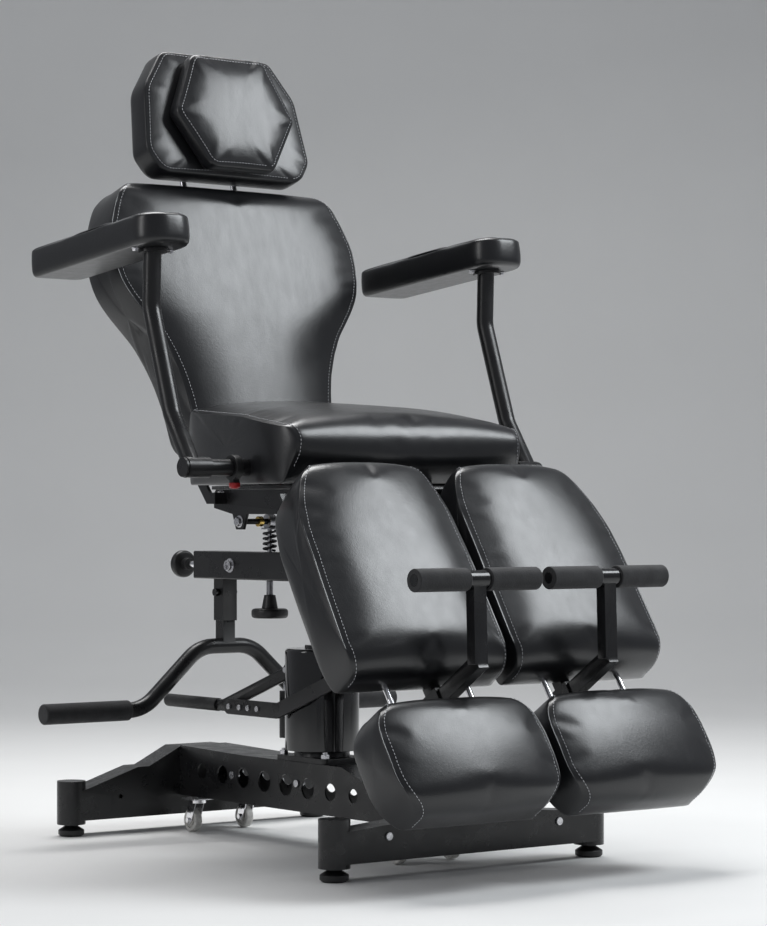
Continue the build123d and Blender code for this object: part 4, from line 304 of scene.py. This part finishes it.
# Tilt gear: a threaded rod with an eye under the seat, the coil spring round it, and a round clamp knob
# below the beam. The eye turns between brass bushes on a bolt through the seat's side plates.
steel, steel_tree, steel_shader = new_finish("bright steel", (0.42, 0.42, 0.44), 0.34, 1.0)
steel_gloss = spread(steel_tree, noise(steel_tree, 300.0, 3.0, (1.0, 1.0, 0.2)), 0.25, 0.45)
steel_tree.links.new(steel_gloss, steel_shader.inputs["Roughness"])
relief(steel_tree, steel_shader, noise(steel_tree, 900.0), 0.00005)
machined("tilt_rod", steel, 0.0004)
dull_wire, wire_tree, wire_shader = new_finish("oiled spring wire", (0.055, 0.055, 0.06), 0.38, 1.0)
relief(wire_tree, wire_shader, noise(wire_tree, 800.0), 0.00005)
rod_y, eye_z = 0.266, 0.559
tilt_spring = machined("tilt_spring", dull_wire, 0.0, rides=False)
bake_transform(tilt_spring)
machined("tilt_knob", moulded, 0.0008)
brass, brass_tree, brass_shader = new_finish("yellow brass", (0.62, 0.43, 0.13), 0.24, 1.0)
relief(brass_tree, brass_shader, noise(brass_tree, 700.0), 0.00004)
bush_rings = [(0.0, 0.0085), (0.0006, 0.0092), (0.0085, 0.0092), (0.009, 0.0085)]
bush_x, plate_face_x = 0.0175, 0.0652
plate_bolt_y, plate_bolt_z, bolt_size = 0.322, 0.604, 0.0085
for side, sign in (("right", -1), ("left", 1)):
    turned(f"tilt_bush_{side}", "tilt_rod", brass, (sign * bush_x, rod_y, eye_z), (sign, 0, 0), bush_rings)
    eye_place = (sign * plate_face_x, rod_y, eye_z)
    bolt_head(f"tilt_eye_bolt_{side}", "seat_frame", eye_place, (sign, 0, 0), bolt_size)
    plate_place = (sign * plate_face_x, plate_bolt_y, plate_bolt_z)
    bolt_head(f"side_plate_bolt_{side}", "seat_frame", plate_place, (sign, 0, 0), bolt_size)
thread_low, thread_length, thread_step = 0.4292, 0.0245, 0.0005
root_radius, crest_radius = 0.0058, 0.0064
thread_rings = [
    (step * thread_step, crest_radius if step % 3 == 1 else root_radius)
    for step in range(int(thread_length / thread_step))
]
thread_place = (0.0, rod_y, thread_low)
turned("tilt_rod_thread", "tilt_knob", steel, thread_place, (0, 0, 1), thread_rings)

# Seat frame: laser-cut side plates and a top plate welded to the tilt pin's tubes, the leg shaft, the
# receivers for the armrests and the ears that carry the backrest.
machined("seat_frame", frame_black, 0.0008)

# Seat cushion: black vinyl over foam on a board. One panel rolls over the front and rear edges, and a
# flat panel closes each side, joined to it by a seam that is topstitched in pale thread.
vinyl, vinyl_tree, vinyl_shader = new_finish("black vinyl", (0.007, 0.0073, 0.0085), 0.3)
vinyl_shader.inputs["Specular IOR Level"].default_value = 0.5
vinyl_shader.inputs["Coat Weight"].default_value = 0.25
vinyl_shader.inputs["Coat Roughness"].default_value = 0.22
vinyl_tone = spread(vinyl_tree, noise(vinyl_tree, 7.0, 4.0), 0.0, 1.0)
vinyl_tree.links.new(
    tinted(vinyl_tree, vinyl_tone, (0.0065, 0.0068, 0.008), (0.009, 0.0095, 0.011)),
    vinyl_shader.inputs["Base Color"],
)
vinyl_scuff = noise(vinyl_tree, 55.0, 8.0, (1.0, 1.0, 0.35))
vinyl_tree.links.new(spread(vinyl_tree, vinyl_scuff, 0.29, 0.35), vinyl_shader.inputs["Roughness"])
vinyl_cells = vinyl_tree.nodes.new("ShaderNodeTexVoronoi")
vinyl_cells.feature = "SMOOTH_F1"
vinyl_cells.inputs["Scale"].default_value = 620.0
vinyl_place = vinyl_tree.nodes.new("ShaderNodeTexCoord")
vinyl_tree.links.new(vinyl_place.outputs["Object"], vinyl_cells.inputs["Vector"])
vinyl_creases = relief(vinyl_tree, vinyl_shader, noise(vinyl_tree, 160.0, 6.0), 0.0003, 0.4)
relief(vinyl_tree, vinyl_shader, vinyl_cells.outputs["Distance"], 0.00016, 0.7, vinyl_creases)
thread, thread_tree, thread_shader = new_finish("pale thread", (0.55, 0.56, 0.58), 0.55)
relief(thread_tree, thread_shader, noise(thread_tree, 2500.0), 0.0002)
thread_tree.links.new(
    tinted(thread_tree, noise(thread_tree, 40.0), (0.40, 0.41, 0.43), (0.68, 0.69, 0.71)),
    thread_shader.inputs["Base Color"],
)


def evened(points, step):
    """Closed line of points spaced evenly by their distance along it."""
    closed = np.vstack((points, points[:1]))
    along = np.concatenate(([0.0], np.cumsum(np.hypot(*np.diff(closed, axis=0).T))))
    places = np.linspace(0.0, along[-1], round(along[-1] / step) + 1)[:-1]
    return np.stack([np.interp(places, along, closed[:, axis]) for axis in (0, 1)], axis=1)


def rounded(corners, step):
    """Closed line round a polygon of (a, b, radius) corners, each corner an arc tangent to its sides."""
    points = np.array([corner[:2] for corner in corners])
    radii = np.array([corner[2] for corner in corners])
    back = np.roll(points, 1, axis=0) - points
    forth = np.roll(points, -1, axis=0) - points
    back /= np.hypot(*back.T)[:, None]
    forth /= np.hypot(*forth.T)[:, None]
    half = np.arccos(np.clip((back * forth).sum(axis=1), -1.0, 1.0)) / 2
    bisector = back + forth
    bisector /= np.hypot(*bisector.T)[:, None]
    centre = points + bisector * (radii / np.sin(half))[:, None]
    first = points + back * (radii / np.tan(half))[:, None] - centre
    last = points + forth * (radii / np.tan(half))[:, None] - centre
    share = np.linspace(0.0, 1.0, 13)[None, :, None]
    chord = first[:, None] * (1 - share) + last[:, None] * share
    chord *= radii[:, None, None] / np.linalg.norm(chord, axis=2, keepdims=True)
    return evened((centre[:, None] + chord).reshape(-1, 2), step)


def outwards(loop):
    """Unit normals of a closed line: the way between each point's neighbours, turned to the outside."""
    way = np.roll(loop, -1, axis=0) - np.roll(loop, 1, axis=0)
    area = (loop[:, 0] * np.roll(loop[:, 1], -1) - loop[:, 1] * np.roll(loop[:, 0], -1)).sum()
    return np.stack((way[:, 1], -way[:, 0]), axis=1) / np.hypot(*way.T)[:, None] * np.sign(area)


def eased(table, places, reach=0.012):
    """Values read from a table at places, each averaged over a short reach so that no corner is left."""
    keys, values = np.array(sorted(table)).T
    shifts = np.linspace(-reach, reach, 9)
    return np.interp(places[..., None] + shifts, keys, values).mean(axis=-1)


def coordinates(piece):
    """Array of a mesh's points."""
    flat = np.empty(len(piece.data.vertices) * 3)
    piece.data.vertices.foreach_get("co", flat)
    return flat.reshape(-1, 3)


def stuffed(piece, held, most, pressure=4.0):
    """The cushion blown out as cloth from its held seams and back, no point by more than a given way."""
    last_frame = 20
    start = coordinates(piece)
    group = piece.vertex_groups.new(name="held")
    for weight in np.unique(held[held > 0]):
        group.add(np.flatnonzero(held == weight).tolist(), float(weight), "REPLACE")
    cloth = piece.modifiers.new("stuffing", "CLOTH")
    cloth.settings.use_pressure = True
    cloth.settings.uniform_pressure_force = pressure
    cloth.settings.vertex_group_mass = "held"
    cloth.settings.pin_stiffness = 1.0
    cloth.settings.quality = 4
    cloth.settings.tension_stiffness = 30.0
    cloth.settings.compression_stiffness = 30.0
    cloth.settings.bending_stiffness = 2.0
    cloth.settings.effector_weights.gravity = 0.0
    cloth.collision_settings.use_collision = False
    cloth.point_cache.frame_start = 1
    cloth.point_cache.frame_end = last_frame
    for step in range(1, last_frame + 1):
        bpy.context.scene.frame_set(step)
    shown = piece.evaluated_get(bpy.context.evaluated_depsgraph_get())
    flat = np.empty(len(shown.data.vertices) * 3)
    shown.data.vertices.foreach_get("co", flat)
    move = flat.reshape(-1, 3) - start
    size = np.linalg.norm(move, axis=1, keepdims=True)
    move *= most * np.tanh(size / most) / np.maximum(size, 1e-9)
    piece.modifiers.clear()
    piece.vertex_groups.clear()
    piece.data.vertices.foreach_set("co", (start + move).ravel())
    piece.data.update()
    bpy.context.scene.frame_set(1)


def stitched(name, piece, rows, body, pitch=0.0062, length=0.0042, radius=0.0005, lift=0.0003):
    """Topstitching: short tapered threads laid end to end along rows of the cushion's own points."""
    def read(places, values):
        """Values along the row read at places."""
        return np.stack([np.interp(places, along, values[:, axis]) for axis in range(3)], axis=1)

    points = coordinates(piece)
    flat = np.empty(len(piece.data.vertices) * 3)
    piece.data.vertices.foreach_get("normal", flat)
    normals = flat.reshape(-1, 3)
    stitches = []
    for row in rows:
        line, up = points[row], normals[row]
        along = np.concatenate(([0.0], np.cumsum(np.linalg.norm(np.diff(line, axis=0), axis=1))))
        middles = np.arange(pitch, along[-1] - pitch, pitch)
        centre = read(middles, line)
        way = read(middles + length / 2, line) - read(middles - length / 2, line)
        stitches.append(np.stack((centre, way, read(middles, up)), axis=1))
    centre, way, up = np.concatenate(stitches).transpose(1, 0, 2)
    up /= np.linalg.norm(up, axis=1, keepdims=True)
    side = np.cross(way, up)
    side /= np.linalg.norm(side, axis=1, keepdims=True)
    stations = np.array((-0.5, -0.3, 0.3, 0.5))
    thick = np.array((0.25, 1.0, 1.0, 0.25)) * radius
    corner = np.arange(6)
    turn = corner * pi / 3
    spot = (
        (centre + up * lift)[:, None, None]
        + way[:, None, None] * stations[None, :, None, None]
        + side[:, None, None] * (thick[:, None] * np.cos(turn))[None, :, :, None]
        + up[:, None, None] * (thick[:, None] * np.sin(turn))[None, :, :, None]
    )
    beside = (corner + 1) % 6
    walls = [
        np.stack((ring + corner, ring + beside, ring + 6 + beside, ring + 6 + corner), axis=1)
        for ring in (0, 6, 12)
    ]
    ends = np.array(((0, 3, 2, 1), (0, 5, 4, 3), (18, 19, 20, 21), (18, 21, 22, 23)))
    one = np.concatenate(walls + [ends])
    faces = (one[None] + (np.arange(len(centre)) * 24)[:, None, None]).reshape(-1, 4)
    sewing = skinned(name, spot.reshape(-1, 3), faces, thread)
    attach(sewing, body)


groove_depth, groove_at, groove_width = 0.0008, 0.0042, 0.0016


def rolled_pad(
    name, node, place, corners, low_table, high_table, crown, side_bulge, board, fade, most
):
    """Cushion whose panel rolls right round a loop in side view between two side panels.

    The loop is the rounded polygon of corners in (s, d). Across it, points run between the two tables'
    values at their s, and rise along the loop's normal by crown * (1 - |share| ** 2.6), less a fall of a
    few millimetres at the seams and a shallow groove under the stitches. The rise fades to nothing over
    the last stretch, of length fade, before the depth of the board. Where the loop faces along s, crown
    and stuffing are held to a fifth, which leaves room for the next cushion. Each side panel is the loop
    shrunk on its middle, domed.
    """
    loop = rounded(corners, 0.0075)
    outward = outwards(loop)
    weight = np.clip((board - loop[:, 1]) / fade, 0.0, 1.0)
    low, high = eased(low_table, loop[:, 0]), eased(high_table, loop[:, 0])
    margin = np.array((0.0, 0.0018, 0.0042, 0.0075, 0.012, 0.018))
    seam_width = margin[-1]
    inner = np.linspace(0.0, 1.0, max(8, round((high - low).mean() / 0.0085)))[None, 1:-1]
    middle = (low + seam_width)[:, None] + (high - low - 2 * seam_width)[:, None] * inner
    across = np.hstack((low[:, None] + margin, middle, (high[:, None] - margin[::-1])))
    share = (across - low[:, None]) / (high - low)[:, None] * 2 - 1
    edge = np.minimum(across - low[:, None], high[:, None] - across)
    slack = 1 - 0.8 * outward[:, 0] ** 2
    rise = crown * (1 - np.abs(share) ** 2.6) * (weight * slack)[:, None]
    rise = rise - 0.0045 * np.exp(-edge / 0.004) * weight[:, None]
    rise = rise - groove_depth * np.exp(-((edge - groove_at) / groove_width) ** 2) * weight[:, None]
    s = loop[:, 0, None] + outward[:, 0, None] * rise
    d = loop[:, 1, None] + outward[:, 1, None] * rise
    rows, columns = across.shape
    panel = place(across.ravel(), s.ravel(), d.ravel())
    middle_point = loop.mean(axis=0)
    rings = 8
    shrink = 1 - (np.arange(1, rings + 1) / (rings + 1)) ** 1.25
    pieces, faces = [panel], [grid_faces(rows, columns)]
    total = rows * columns
    for side, column in ((-1, 0), (1, columns - 1)):
        ring = middle_point + (loop - middle_point)[:, None] * shrink[None, :, None]
        table = low_table if side < 0 else high_table
        edge_x = eased(table, ring[..., 0])
        dome = side_bulge * (1 - shrink ** 3)[None, :]
        cap = place((edge_x + side * dome).ravel(), ring[..., 0].ravel(), ring[..., 1].ravel())
        pole_x = eased(table, middle_point[:1]) + side * side_bulge
        pole = place(pole_x, middle_point[:1], middle_point[1:])
        pieces += [cap, pole]
        first = total
        faces.append(grid_faces(rows, rings, first))
        here = np.arange(rows)
        there = (here + 1) % rows
        faces.append(np.stack((here * columns + column, there * columns + column,
                               first + there * rings, first + here * rings), 1))
        pole_index = first + rows * rings
        last = first + rings - 1
        faces.append(np.stack((last + here * rings, last + there * rings, np.full(rows, pole_index)), 1))
        total = pole_index + 1
    points = np.vstack(pieces)
    cushion = skinned(name, points, [face for block in faces for face in block], vinyl)
    held = np.zeros(len(points))
    back_rows = np.flatnonzero(weight < 0.05)
    held[(back_rows[:, None] * columns + np.arange(columns)).ravel()] = 1.0
    held[np.arange(rows) * columns] = 0.9
    held[np.arange(rows) * columns + columns - 1] = 0.9
    reach = np.full((len(points), 1), most)
    reach[:rows * columns, 0] = most * np.repeat(slack, columns)
    stuffed(cushion, held, reach)
    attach(cushion, rides_on[node])
    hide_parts(node)
    smooth = cushion.modifiers.new("fine skin", "SUBSURF")
    smooth.levels = smooth.render_levels = 1
    front = np.flatnonzero(weight > 0.5)
    cut = np.flatnonzero(np.diff(front) > 1)
    if len(cut):
        front = np.concatenate((front[cut[0] + 1:], front[:cut[0] + 1]))
    sewn = [front * columns + 3, front * columns + columns - 4]
    stitched(name + "_stitching", cushion, sewn, rides_on[node])


column_y = 0.110


def on_seat(x, s, d):
    """Points at a distance s behind the column and at a height of -d."""
    return np.stack((x, column_y + s, -d), axis=1)


seat_loop = [
    (-0.226, -0.6215, 0.006), (-0.252, -0.672, 0.020), (-0.258, -0.714, 0.030), (-0.110, -0.737, 0.08),
    (0.120, -0.7525, 0.030), (0.128, -0.690, 0.020), (0.100, -0.6215, 0.006),
]
seat_right = [(-0.30, -0.232), (-0.256, -0.234), (-0.225, -0.2465), (-0.17, -0.2495), (-0.13, -0.247),
              (0.0, -0.228), (0.06, -0.217), (0.10, -0.207), (0.118, -0.198), (0.13, -0.186)]
rolled_pad(
    "seat_cushion_cover", "seat_cushion", on_seat, seat_loop, seat_right,
    [(s, -x) for s, x in seat_right],
    crown=0.014, side_bulge=0.004, board=-0.626, fade=0.03, most=0.007,
)

# Backrest: a welded frame on two hinge arms, and a waisted cushion whose panel rolls over the top and
# bottom edges. Its side seams are topstitched, and nothing is pressed into its face.
machined("backrest_frame", frame_black, 0.001)


def leaning(face_y, face_z, lean):
    """Place function of a leaning face: points at a distance s up it from its origin and d behind it."""
    def place(x, s, d):
        y = face_y + s * sin(lean) + d * cos(lean)
        z = face_z + s * cos(lean) - d * sin(lean)
        return np.stack((x, y, z), axis=1)

    return place


on_back = leaning(face_y=0.274, face_z=0.784, lean=radians(16.5))
back_loop = [
    (-0.090, 0.018, 0.016), (0.150, 0.012, 0.3), (0.400, 0.014, 0.022), (0.400, 0.102, 0.018),
    (0.390, 0.108, 0.004), (-0.080, 0.108, 0.004), (-0.090, 0.096, 0.014),
]
back_right = [(-0.10, -0.126), (-0.088, -0.134), (-0.07, -0.147), (-0.02, -0.152), (0.0, -0.154),
              (0.042, -0.163), (0.08, -0.176), (0.118, -0.194), (0.150, -0.218), (0.172, -0.235),
              (0.200, -0.252), (0.225, -0.260), (0.260, -0.264), (0.294, -0.263), (0.315, -0.257),
              (0.345, -0.246), (0.376, -0.232), (0.392, -0.218), (0.403, -0.200)]
rolled_pad(
    "backrest_cushion_cover", "backrest_cushion", on_back, back_loop, back_right,
    [(s, -x) for s, x in back_right],
    crown=0.010, side_bulge=0.003, board=0.104, fade=0.02, most=0.006,
)

# Headrest: two chromed rods carry a hinge bracket, with a boxed cushion on it and a smaller six-sided
# cushion in front of that. Both have a seam all round the face, topstitched in pale thread.
machined("headrest_rods", chrome, 0.0003)
machined("headrest_bracket", frame_black, 0.001)
on_head = leaning(face_y=0.359, face_z=1.297, lean=radians(14.0))


def boxed_pad(name, node, place, outline, front, back, crown, bulge, most, stitch=True):
    """Cushion with a face, a side band and a back, seamed round the face's edge.

    The face is the outline shrunk on its middle. It rises by crown * (1 - exp(-near / 0.028)), where near
    is the cube root of the inverse mean of 1 / gap ** 4 over the gaps to the outline. The band goes
    straight back, bulged by bulge * sin(pi * share). The back is flat.
    """
    def risen(spots):
        """Rise of the face at spots."""
        gap = np.linalg.norm(spots[..., None, :] - loop, axis=-1)
        near = (1 / (gap + 0.001) ** 4).mean(axis=-1) ** (-1 / 3)
        return crown * (1 - np.exp(-near / 0.028))

    loop = rounded(outline, 0.007)
    middle = (loop.max(axis=0) + loop.min(axis=0)) / 2
    reach = np.hypot(*(loop - middle).T)
    inset = np.array((0.018, 0.012, 0.0075, 0.0042, 0.0018, 0.0))
    spokes = np.tile(np.linspace(0.1, 0.82, 9), (len(loop), 1))
    share = np.hstack((spokes, 1 - inset[None] / reach[:, None]))
    face = middle + (loop - middle)[:, None] * share[..., None]
    edge = (1 - share) * reach[:, None]
    face_d = front - risen(face) + 0.004 * np.exp(-edge / 0.004)
    face_d += groove_depth * np.exp(-((edge - groove_at) / groove_width) ** 2)
    outward = outwards(loop)
    deep = np.linspace(0.0, 1.0, max(5, round((back - front) / 0.0075)))[1:]
    swell = bulge * np.sin(pi * deep) - 0.003 * (deep > 0.99)
    band = loop[:, None] + outward[:, None] * swell[None, :, None]
    band_d = np.tile(front + 0.004 + (back - front - 0.004) * deep, (len(loop), 1))
    inward = np.linspace(0.9, 0.1, 7)
    rear = middle + (loop - middle)[:, None] * inward[None, :, None]
    rear_d = np.full(rear.shape[:2], back)
    plan = np.concatenate((face, band, rear), axis=1)
    depth = np.concatenate((face_d, band_d, rear_d), axis=1)
    rows, columns = depth.shape
    points = place(plan[..., 0].ravel(), plan[..., 1].ravel(), depth.ravel())
    poles = place(middle[[0, 0]], middle[[1, 1]], np.array((front - risen(middle), back)))
    here = np.arange(rows)
    there = (here + 1) % rows
    count = rows * columns
    faces = list(grid_faces(rows, columns))
    faces += list(np.stack((here * columns, there * columns, np.full(rows, count)), 1))
    faces += list(np.stack((here * columns + columns - 1, there * columns + columns - 1,
                            np.full(rows, count + 1)), 1))
    cushion = skinned(name, np.vstack((points, poles)), faces, vinyl)
    seam = face.shape[1] - 1
    held = np.zeros(count + 2)
    held[here * columns + seam] = 0.9
    first_back = face.shape[1] + band.shape[1] - 1
    held[(here[:, None] * columns + np.arange(first_back, columns)).ravel()] = 1.0
    held[count + 1] = 1.0
    stuffed(cushion, held, most)
    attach(cushion, rides_on[node])
    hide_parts(node)
    smooth = cushion.modifiers.new("fine skin", "SUBSURF")
    smooth.levels = smooth.render_levels = 1
    if stitch:
        ring = np.append(here, 0) * columns + seam - 3
        stitched(name + "_stitching", cushion, [ring], rides_on[node])


def both_sides(half):
    """Outline of a shape that is alike on both sides, from its corners at positive x."""
    return [(x, y, r) for x, y, r in half] + [(-x, y, r) for x, y, r in reversed(half)]


boxed_pad(
    "headrest_front_cover", "headrest_front_pad", on_head,
    both_sides([(0.068, -0.105, 0.016), (0.128, -0.006, 0.014), (0.078, 0.105, 0.018)]),
    front=0.010, back=0.0437, crown=0.008, bulge=0.002, most=0.003,
)
boxed_pad(
    "headrest_rear_cover", "headrest_rear_pad", on_head,
    both_sides([(0.152, -0.108, 0.030), (0.177, -0.070, 0.030), (0.164, 0.050, 0.05), (0.117, 0.121, 0.020)]),
    front=0.0475, back=0.1047, crown=0.002, bulge=0.001, most=0.002,
)

# Armrests: a black shaft in the seat's receiver, a lock lever with a red button on the receiver's end, a
# bent steel post that swings on the shaft, and a long cushion that turns on the post's pin.
arm_pitch = radians(5.7)
post_x, pad_y, pad_low_z, pad_thick = 0.356, 0.096, 1.008, 0.0603
pad_bolt_x, pad_bolt_depth, pad_bolt_size = 0.034, 0.0598, 0.0055
button_x, button_y, button_z = 0.2765, -0.0255, 0.6235
button_rings = [(0.0, 0.0086), (0.0006, 0.0092), (0.0065, 0.0092), (0.009, 0.0075), (0.0098, 0.004)]
button_red, button_tree, button_shader = new_finish("red push button", (0.36, 0.012, 0.014), 0.34)
relief(button_tree, button_shader, noise(button_tree, 900.0), 0.00005)
for side, sign in (("right", -1), ("left", 1)):
    machined(f"armrest_shaft_{side}", frame_black, 0.0008)
    machined(f"armrest_post_{side}", frame_black, 0.0008)
    machined(f"lock_lever_{side}", moulded, 0.0012)
    turned(f"lock_button_{side}", f"lock_lever_{side}", button_red, (sign * button_x, button_y, button_z),
           (0, 0, -1), button_rings)

    def on_arm(x, s, d, sign=sign):
        """Points at x across, s along and d below the top of an armrest's cushion."""
        up = pad_thick - d
        return np.stack((sign * post_x + x, pad_y + s * cos(arm_pitch) + up * sin(arm_pitch),
                         pad_low_z - s * sin(arm_pitch) + up * cos(arm_pitch)), axis=1)

    boxed_pad(
        f"armrest_cover_{side}", f"armrest_pad_{side}", on_arm,
        both_sides([(0.049, -0.064, 0.040), (0.049, 0.314, 0.014)]),
        front=0.010, back=0.0597, crown=0.009, bulge=0.0015, most=0.004, stitch=False,
    )
    for end, shift in (("inner", -pad_bolt_x), ("outer", pad_bolt_x)):
        spot = on_arm(np.array([sign * shift]), np.array([0.0]), np.array([pad_bolt_depth]))[0]
        name = f"armrest_pad_bolt_{end}_{side}"
        bolt_head(name, f"armrest_pad_{side}", spot, (0.0, 0.0, -1.0), pad_bolt_size)

# Leg rests: each leg has a frame hinged under the seat's front edge with a calf cushion, a foot cushion
# that slides down on two chromed rods, and a padded T-bar whose strut slides in a socket.
satin_black = powder_coat("satin powder coat", (0.007, 0.007, 0.0075), (0.011, 0.011, 0.012), 0.2, 0.00006)
on_leg = leaning(face_y=-0.214, face_z=0.668, lean=radians(34.0))
calf_loop = [
    (-0.002, 0.014, 0.024), (-0.180, 0.012, 0.5), (-0.388, 0.018, 0.040), (-0.388, 0.090, 0.010),
    (-0.378, 0.094, 0.004), (-0.056, 0.094, 0.006), (-0.002, 0.046, 0.010),
]
calf_inner = [(0.01, 0.058), (0.0, 0.055), (-0.010, 0.044), (-0.028, 0.030), (-0.060, 0.019), (-0.095, 0.013),
              (-0.215, 0.010), (-0.340, 0.009), (-0.388, 0.011)]
calf_outer = [(0.01, 0.244), (0.0, 0.252), (-0.010, 0.262), (-0.030, 0.283), (-0.075, 0.305), (-0.130, 0.317),
              (-0.230, 0.322), (-0.340, 0.325), (-0.368, 0.322), (-0.388, 0.315)]
foot_loop = [
    (-0.441, 0.014, 0.022), (-0.535, 0.012, 0.5), (-0.628, 0.018, 0.036), (-0.628, 0.088, 0.014),
    (-0.620, 0.094, 0.004), (-0.452, 0.094, 0.004), (-0.441, 0.086, 0.010),
]
foot_inner = [(-0.435, 0.050), (-0.445, 0.040), (-0.459, 0.025), (-0.478, 0.013), (-0.506, 0.009),
              (-0.568, 0.009), (-0.594, 0.013), (-0.613, 0.025), (-0.628, 0.042)]
foot_outer = [(-0.435, 0.284), (-0.445, 0.292), (-0.459, 0.308), (-0.478, 0.322), (-0.506, 0.326),
              (-0.568, 0.326), (-0.594, 0.320), (-0.613, 0.306), (-0.628, 0.288)]
for side, sign in (("right", -1), ("left", 1)):
    machined(f"leg_frame_{side}", frame_black, 0.0008)
    machined(f"foot_slide_{side}", chrome, 0.0004)
    machined(f"t_bar_{side}", satin_black, 0.0012)
    machined(f"foam_rollers_{side}", foam, 0.0016)
    for pad, loop, inner, outer in (("calf", calf_loop, calf_inner, calf_outer),
                                    ("foot", foot_loop, foot_inner, foot_outer)):
        near = [(s, sign * x) for s, x in (inner if sign > 0 else outer)]
        far = [(s, sign * x) for s, x in (outer if sign > 0 else inner)]
        rolled_pad(
            f"{pad}_cover_{side}", f"{pad}_pad_{side}", on_leg, loop, near, far,
            crown=0.013, side_bulge=0.003, board=0.090, fade=0.02, most=0.006,
        )

# Studio: a pale floor that runs up into a pale backdrop, a soft lamp ahead on the sitter's left, a larger
# one overhead and behind, a weak one on the sitter's right, and the camera at the photograph's angle.
studio, studio_tree, studio_shader = new_finish("studio paper", (0.80, 0.80, 0.79), 0.75)
studio_tree.links.new(
    tinted(studio_tree, noise(studio_tree, 3.0), (0.78, 0.78, 0.77), (0.82, 0.82, 0.81)),
    studio_shader.inputs["Base Color"],
)
ahead = np.array((0.6101, 0.7923))
aside = np.array((0.7923, -0.6101))
profile = np.array([(-6.0, 0.0), (3.2, 0.0), (3.8, 0.05), (4.3, 0.2), (4.7, 0.5), (4.95, 1.0), (5.0, 1.6),
                    (5.0, 5.5)])
width = np.linspace(-7.0, 7.0, 15)
ground = profile[:, None, 0, None] * ahead + width[None, :, None] * aside
paper = np.concatenate((ground, np.tile(profile[:, None, 1:], (1, len(width), 1))), axis=2)
sweep_faces = grid_faces(len(profile), len(width), closed=False)
backdrop = skinned("studio_sweep", paper.reshape(-1, 3), sweep_faces, studio)


def soft_lamp(name, place, aim, size, power, colour=(1.0, 1.0, 1.0)):
    """Rectangular area lamp at a place, turned to its aim."""
    lamp = bpy.data.lights.new(name, "AREA")
    lamp.shape = "RECTANGLE"
    lamp.size, lamp.size_y = size
    lamp.energy = power
    lamp.color = colour
    holder = bpy.data.objects.new(name, lamp)
    bpy.context.scene.collection.objects.link(holder)
    to = np.array(aim) - np.array(place)
    back = -to / np.linalg.norm(to)
    right = np.cross((0.0, 0.0, 1.0), back)
    right /= np.linalg.norm(right)
    up = np.cross(back, right)
    holder.matrix_world = Matrix([[right[i], up[i], back[i], place[i]] for i in range(3)] + [[0, 0, 0, 1]])


soft_lamp("key softbox", (1.6, -1.4, 2.5), (0.0, 0.0, 0.8), (1.4, 1.2), 52.0, (0.93, 0.97, 1.0))
soft_lamp("overhead softbox", (0.2, 1.0, 3.3), (0.0, 0.0, 0.6), (2.0, 1.6), 90.0)
soft_lamp("fill softbox", (-3.2, 0.6, 1.8), (0.0, 0.0, 0.7), (0.8, 2.0), 16.0)
world = bpy.data.worlds.new("studio air")
bpy.context.scene.world = world
world.use_nodes = True
world.node_tree.nodes["Background"].inputs["Color"].default_value = (0.9, 0.93, 1.0, 1.0)
world.node_tree.nodes["Background"].inputs["Strength"].default_value = 0.25

eye = bpy.data.cameras.new("camera")
eye.sensor_fit = "VERTICAL"
eye.sensor_height = 24.0
focal_pixels, horizon_pixels, picture_height = 2823.0, 47.7, 926.0
eye.lens = focal_pixels / picture_height * 24.0
eye.shift_y = horizon_pixels / picture_height
camera = bpy.data.objects.new("camera", eye)
bpy.context.scene.collection.objects.link(camera)
eye_x, eye_y, eye_height = -2.8873, -3.8132, 0.578
camera.matrix_world = Matrix((
    (aside[0], 0.0, -ahead[0], eye_x),
    (aside[1], 0.0, -ahead[1], eye_y),
    (0.0, 1.0, 0.0, eye_height),
    (0.0, 0.0, 0.0, 1.0),
))
bpy.context.scene.camera = camera
bpy.context.scene.view_settings.view_transform = "Standard"
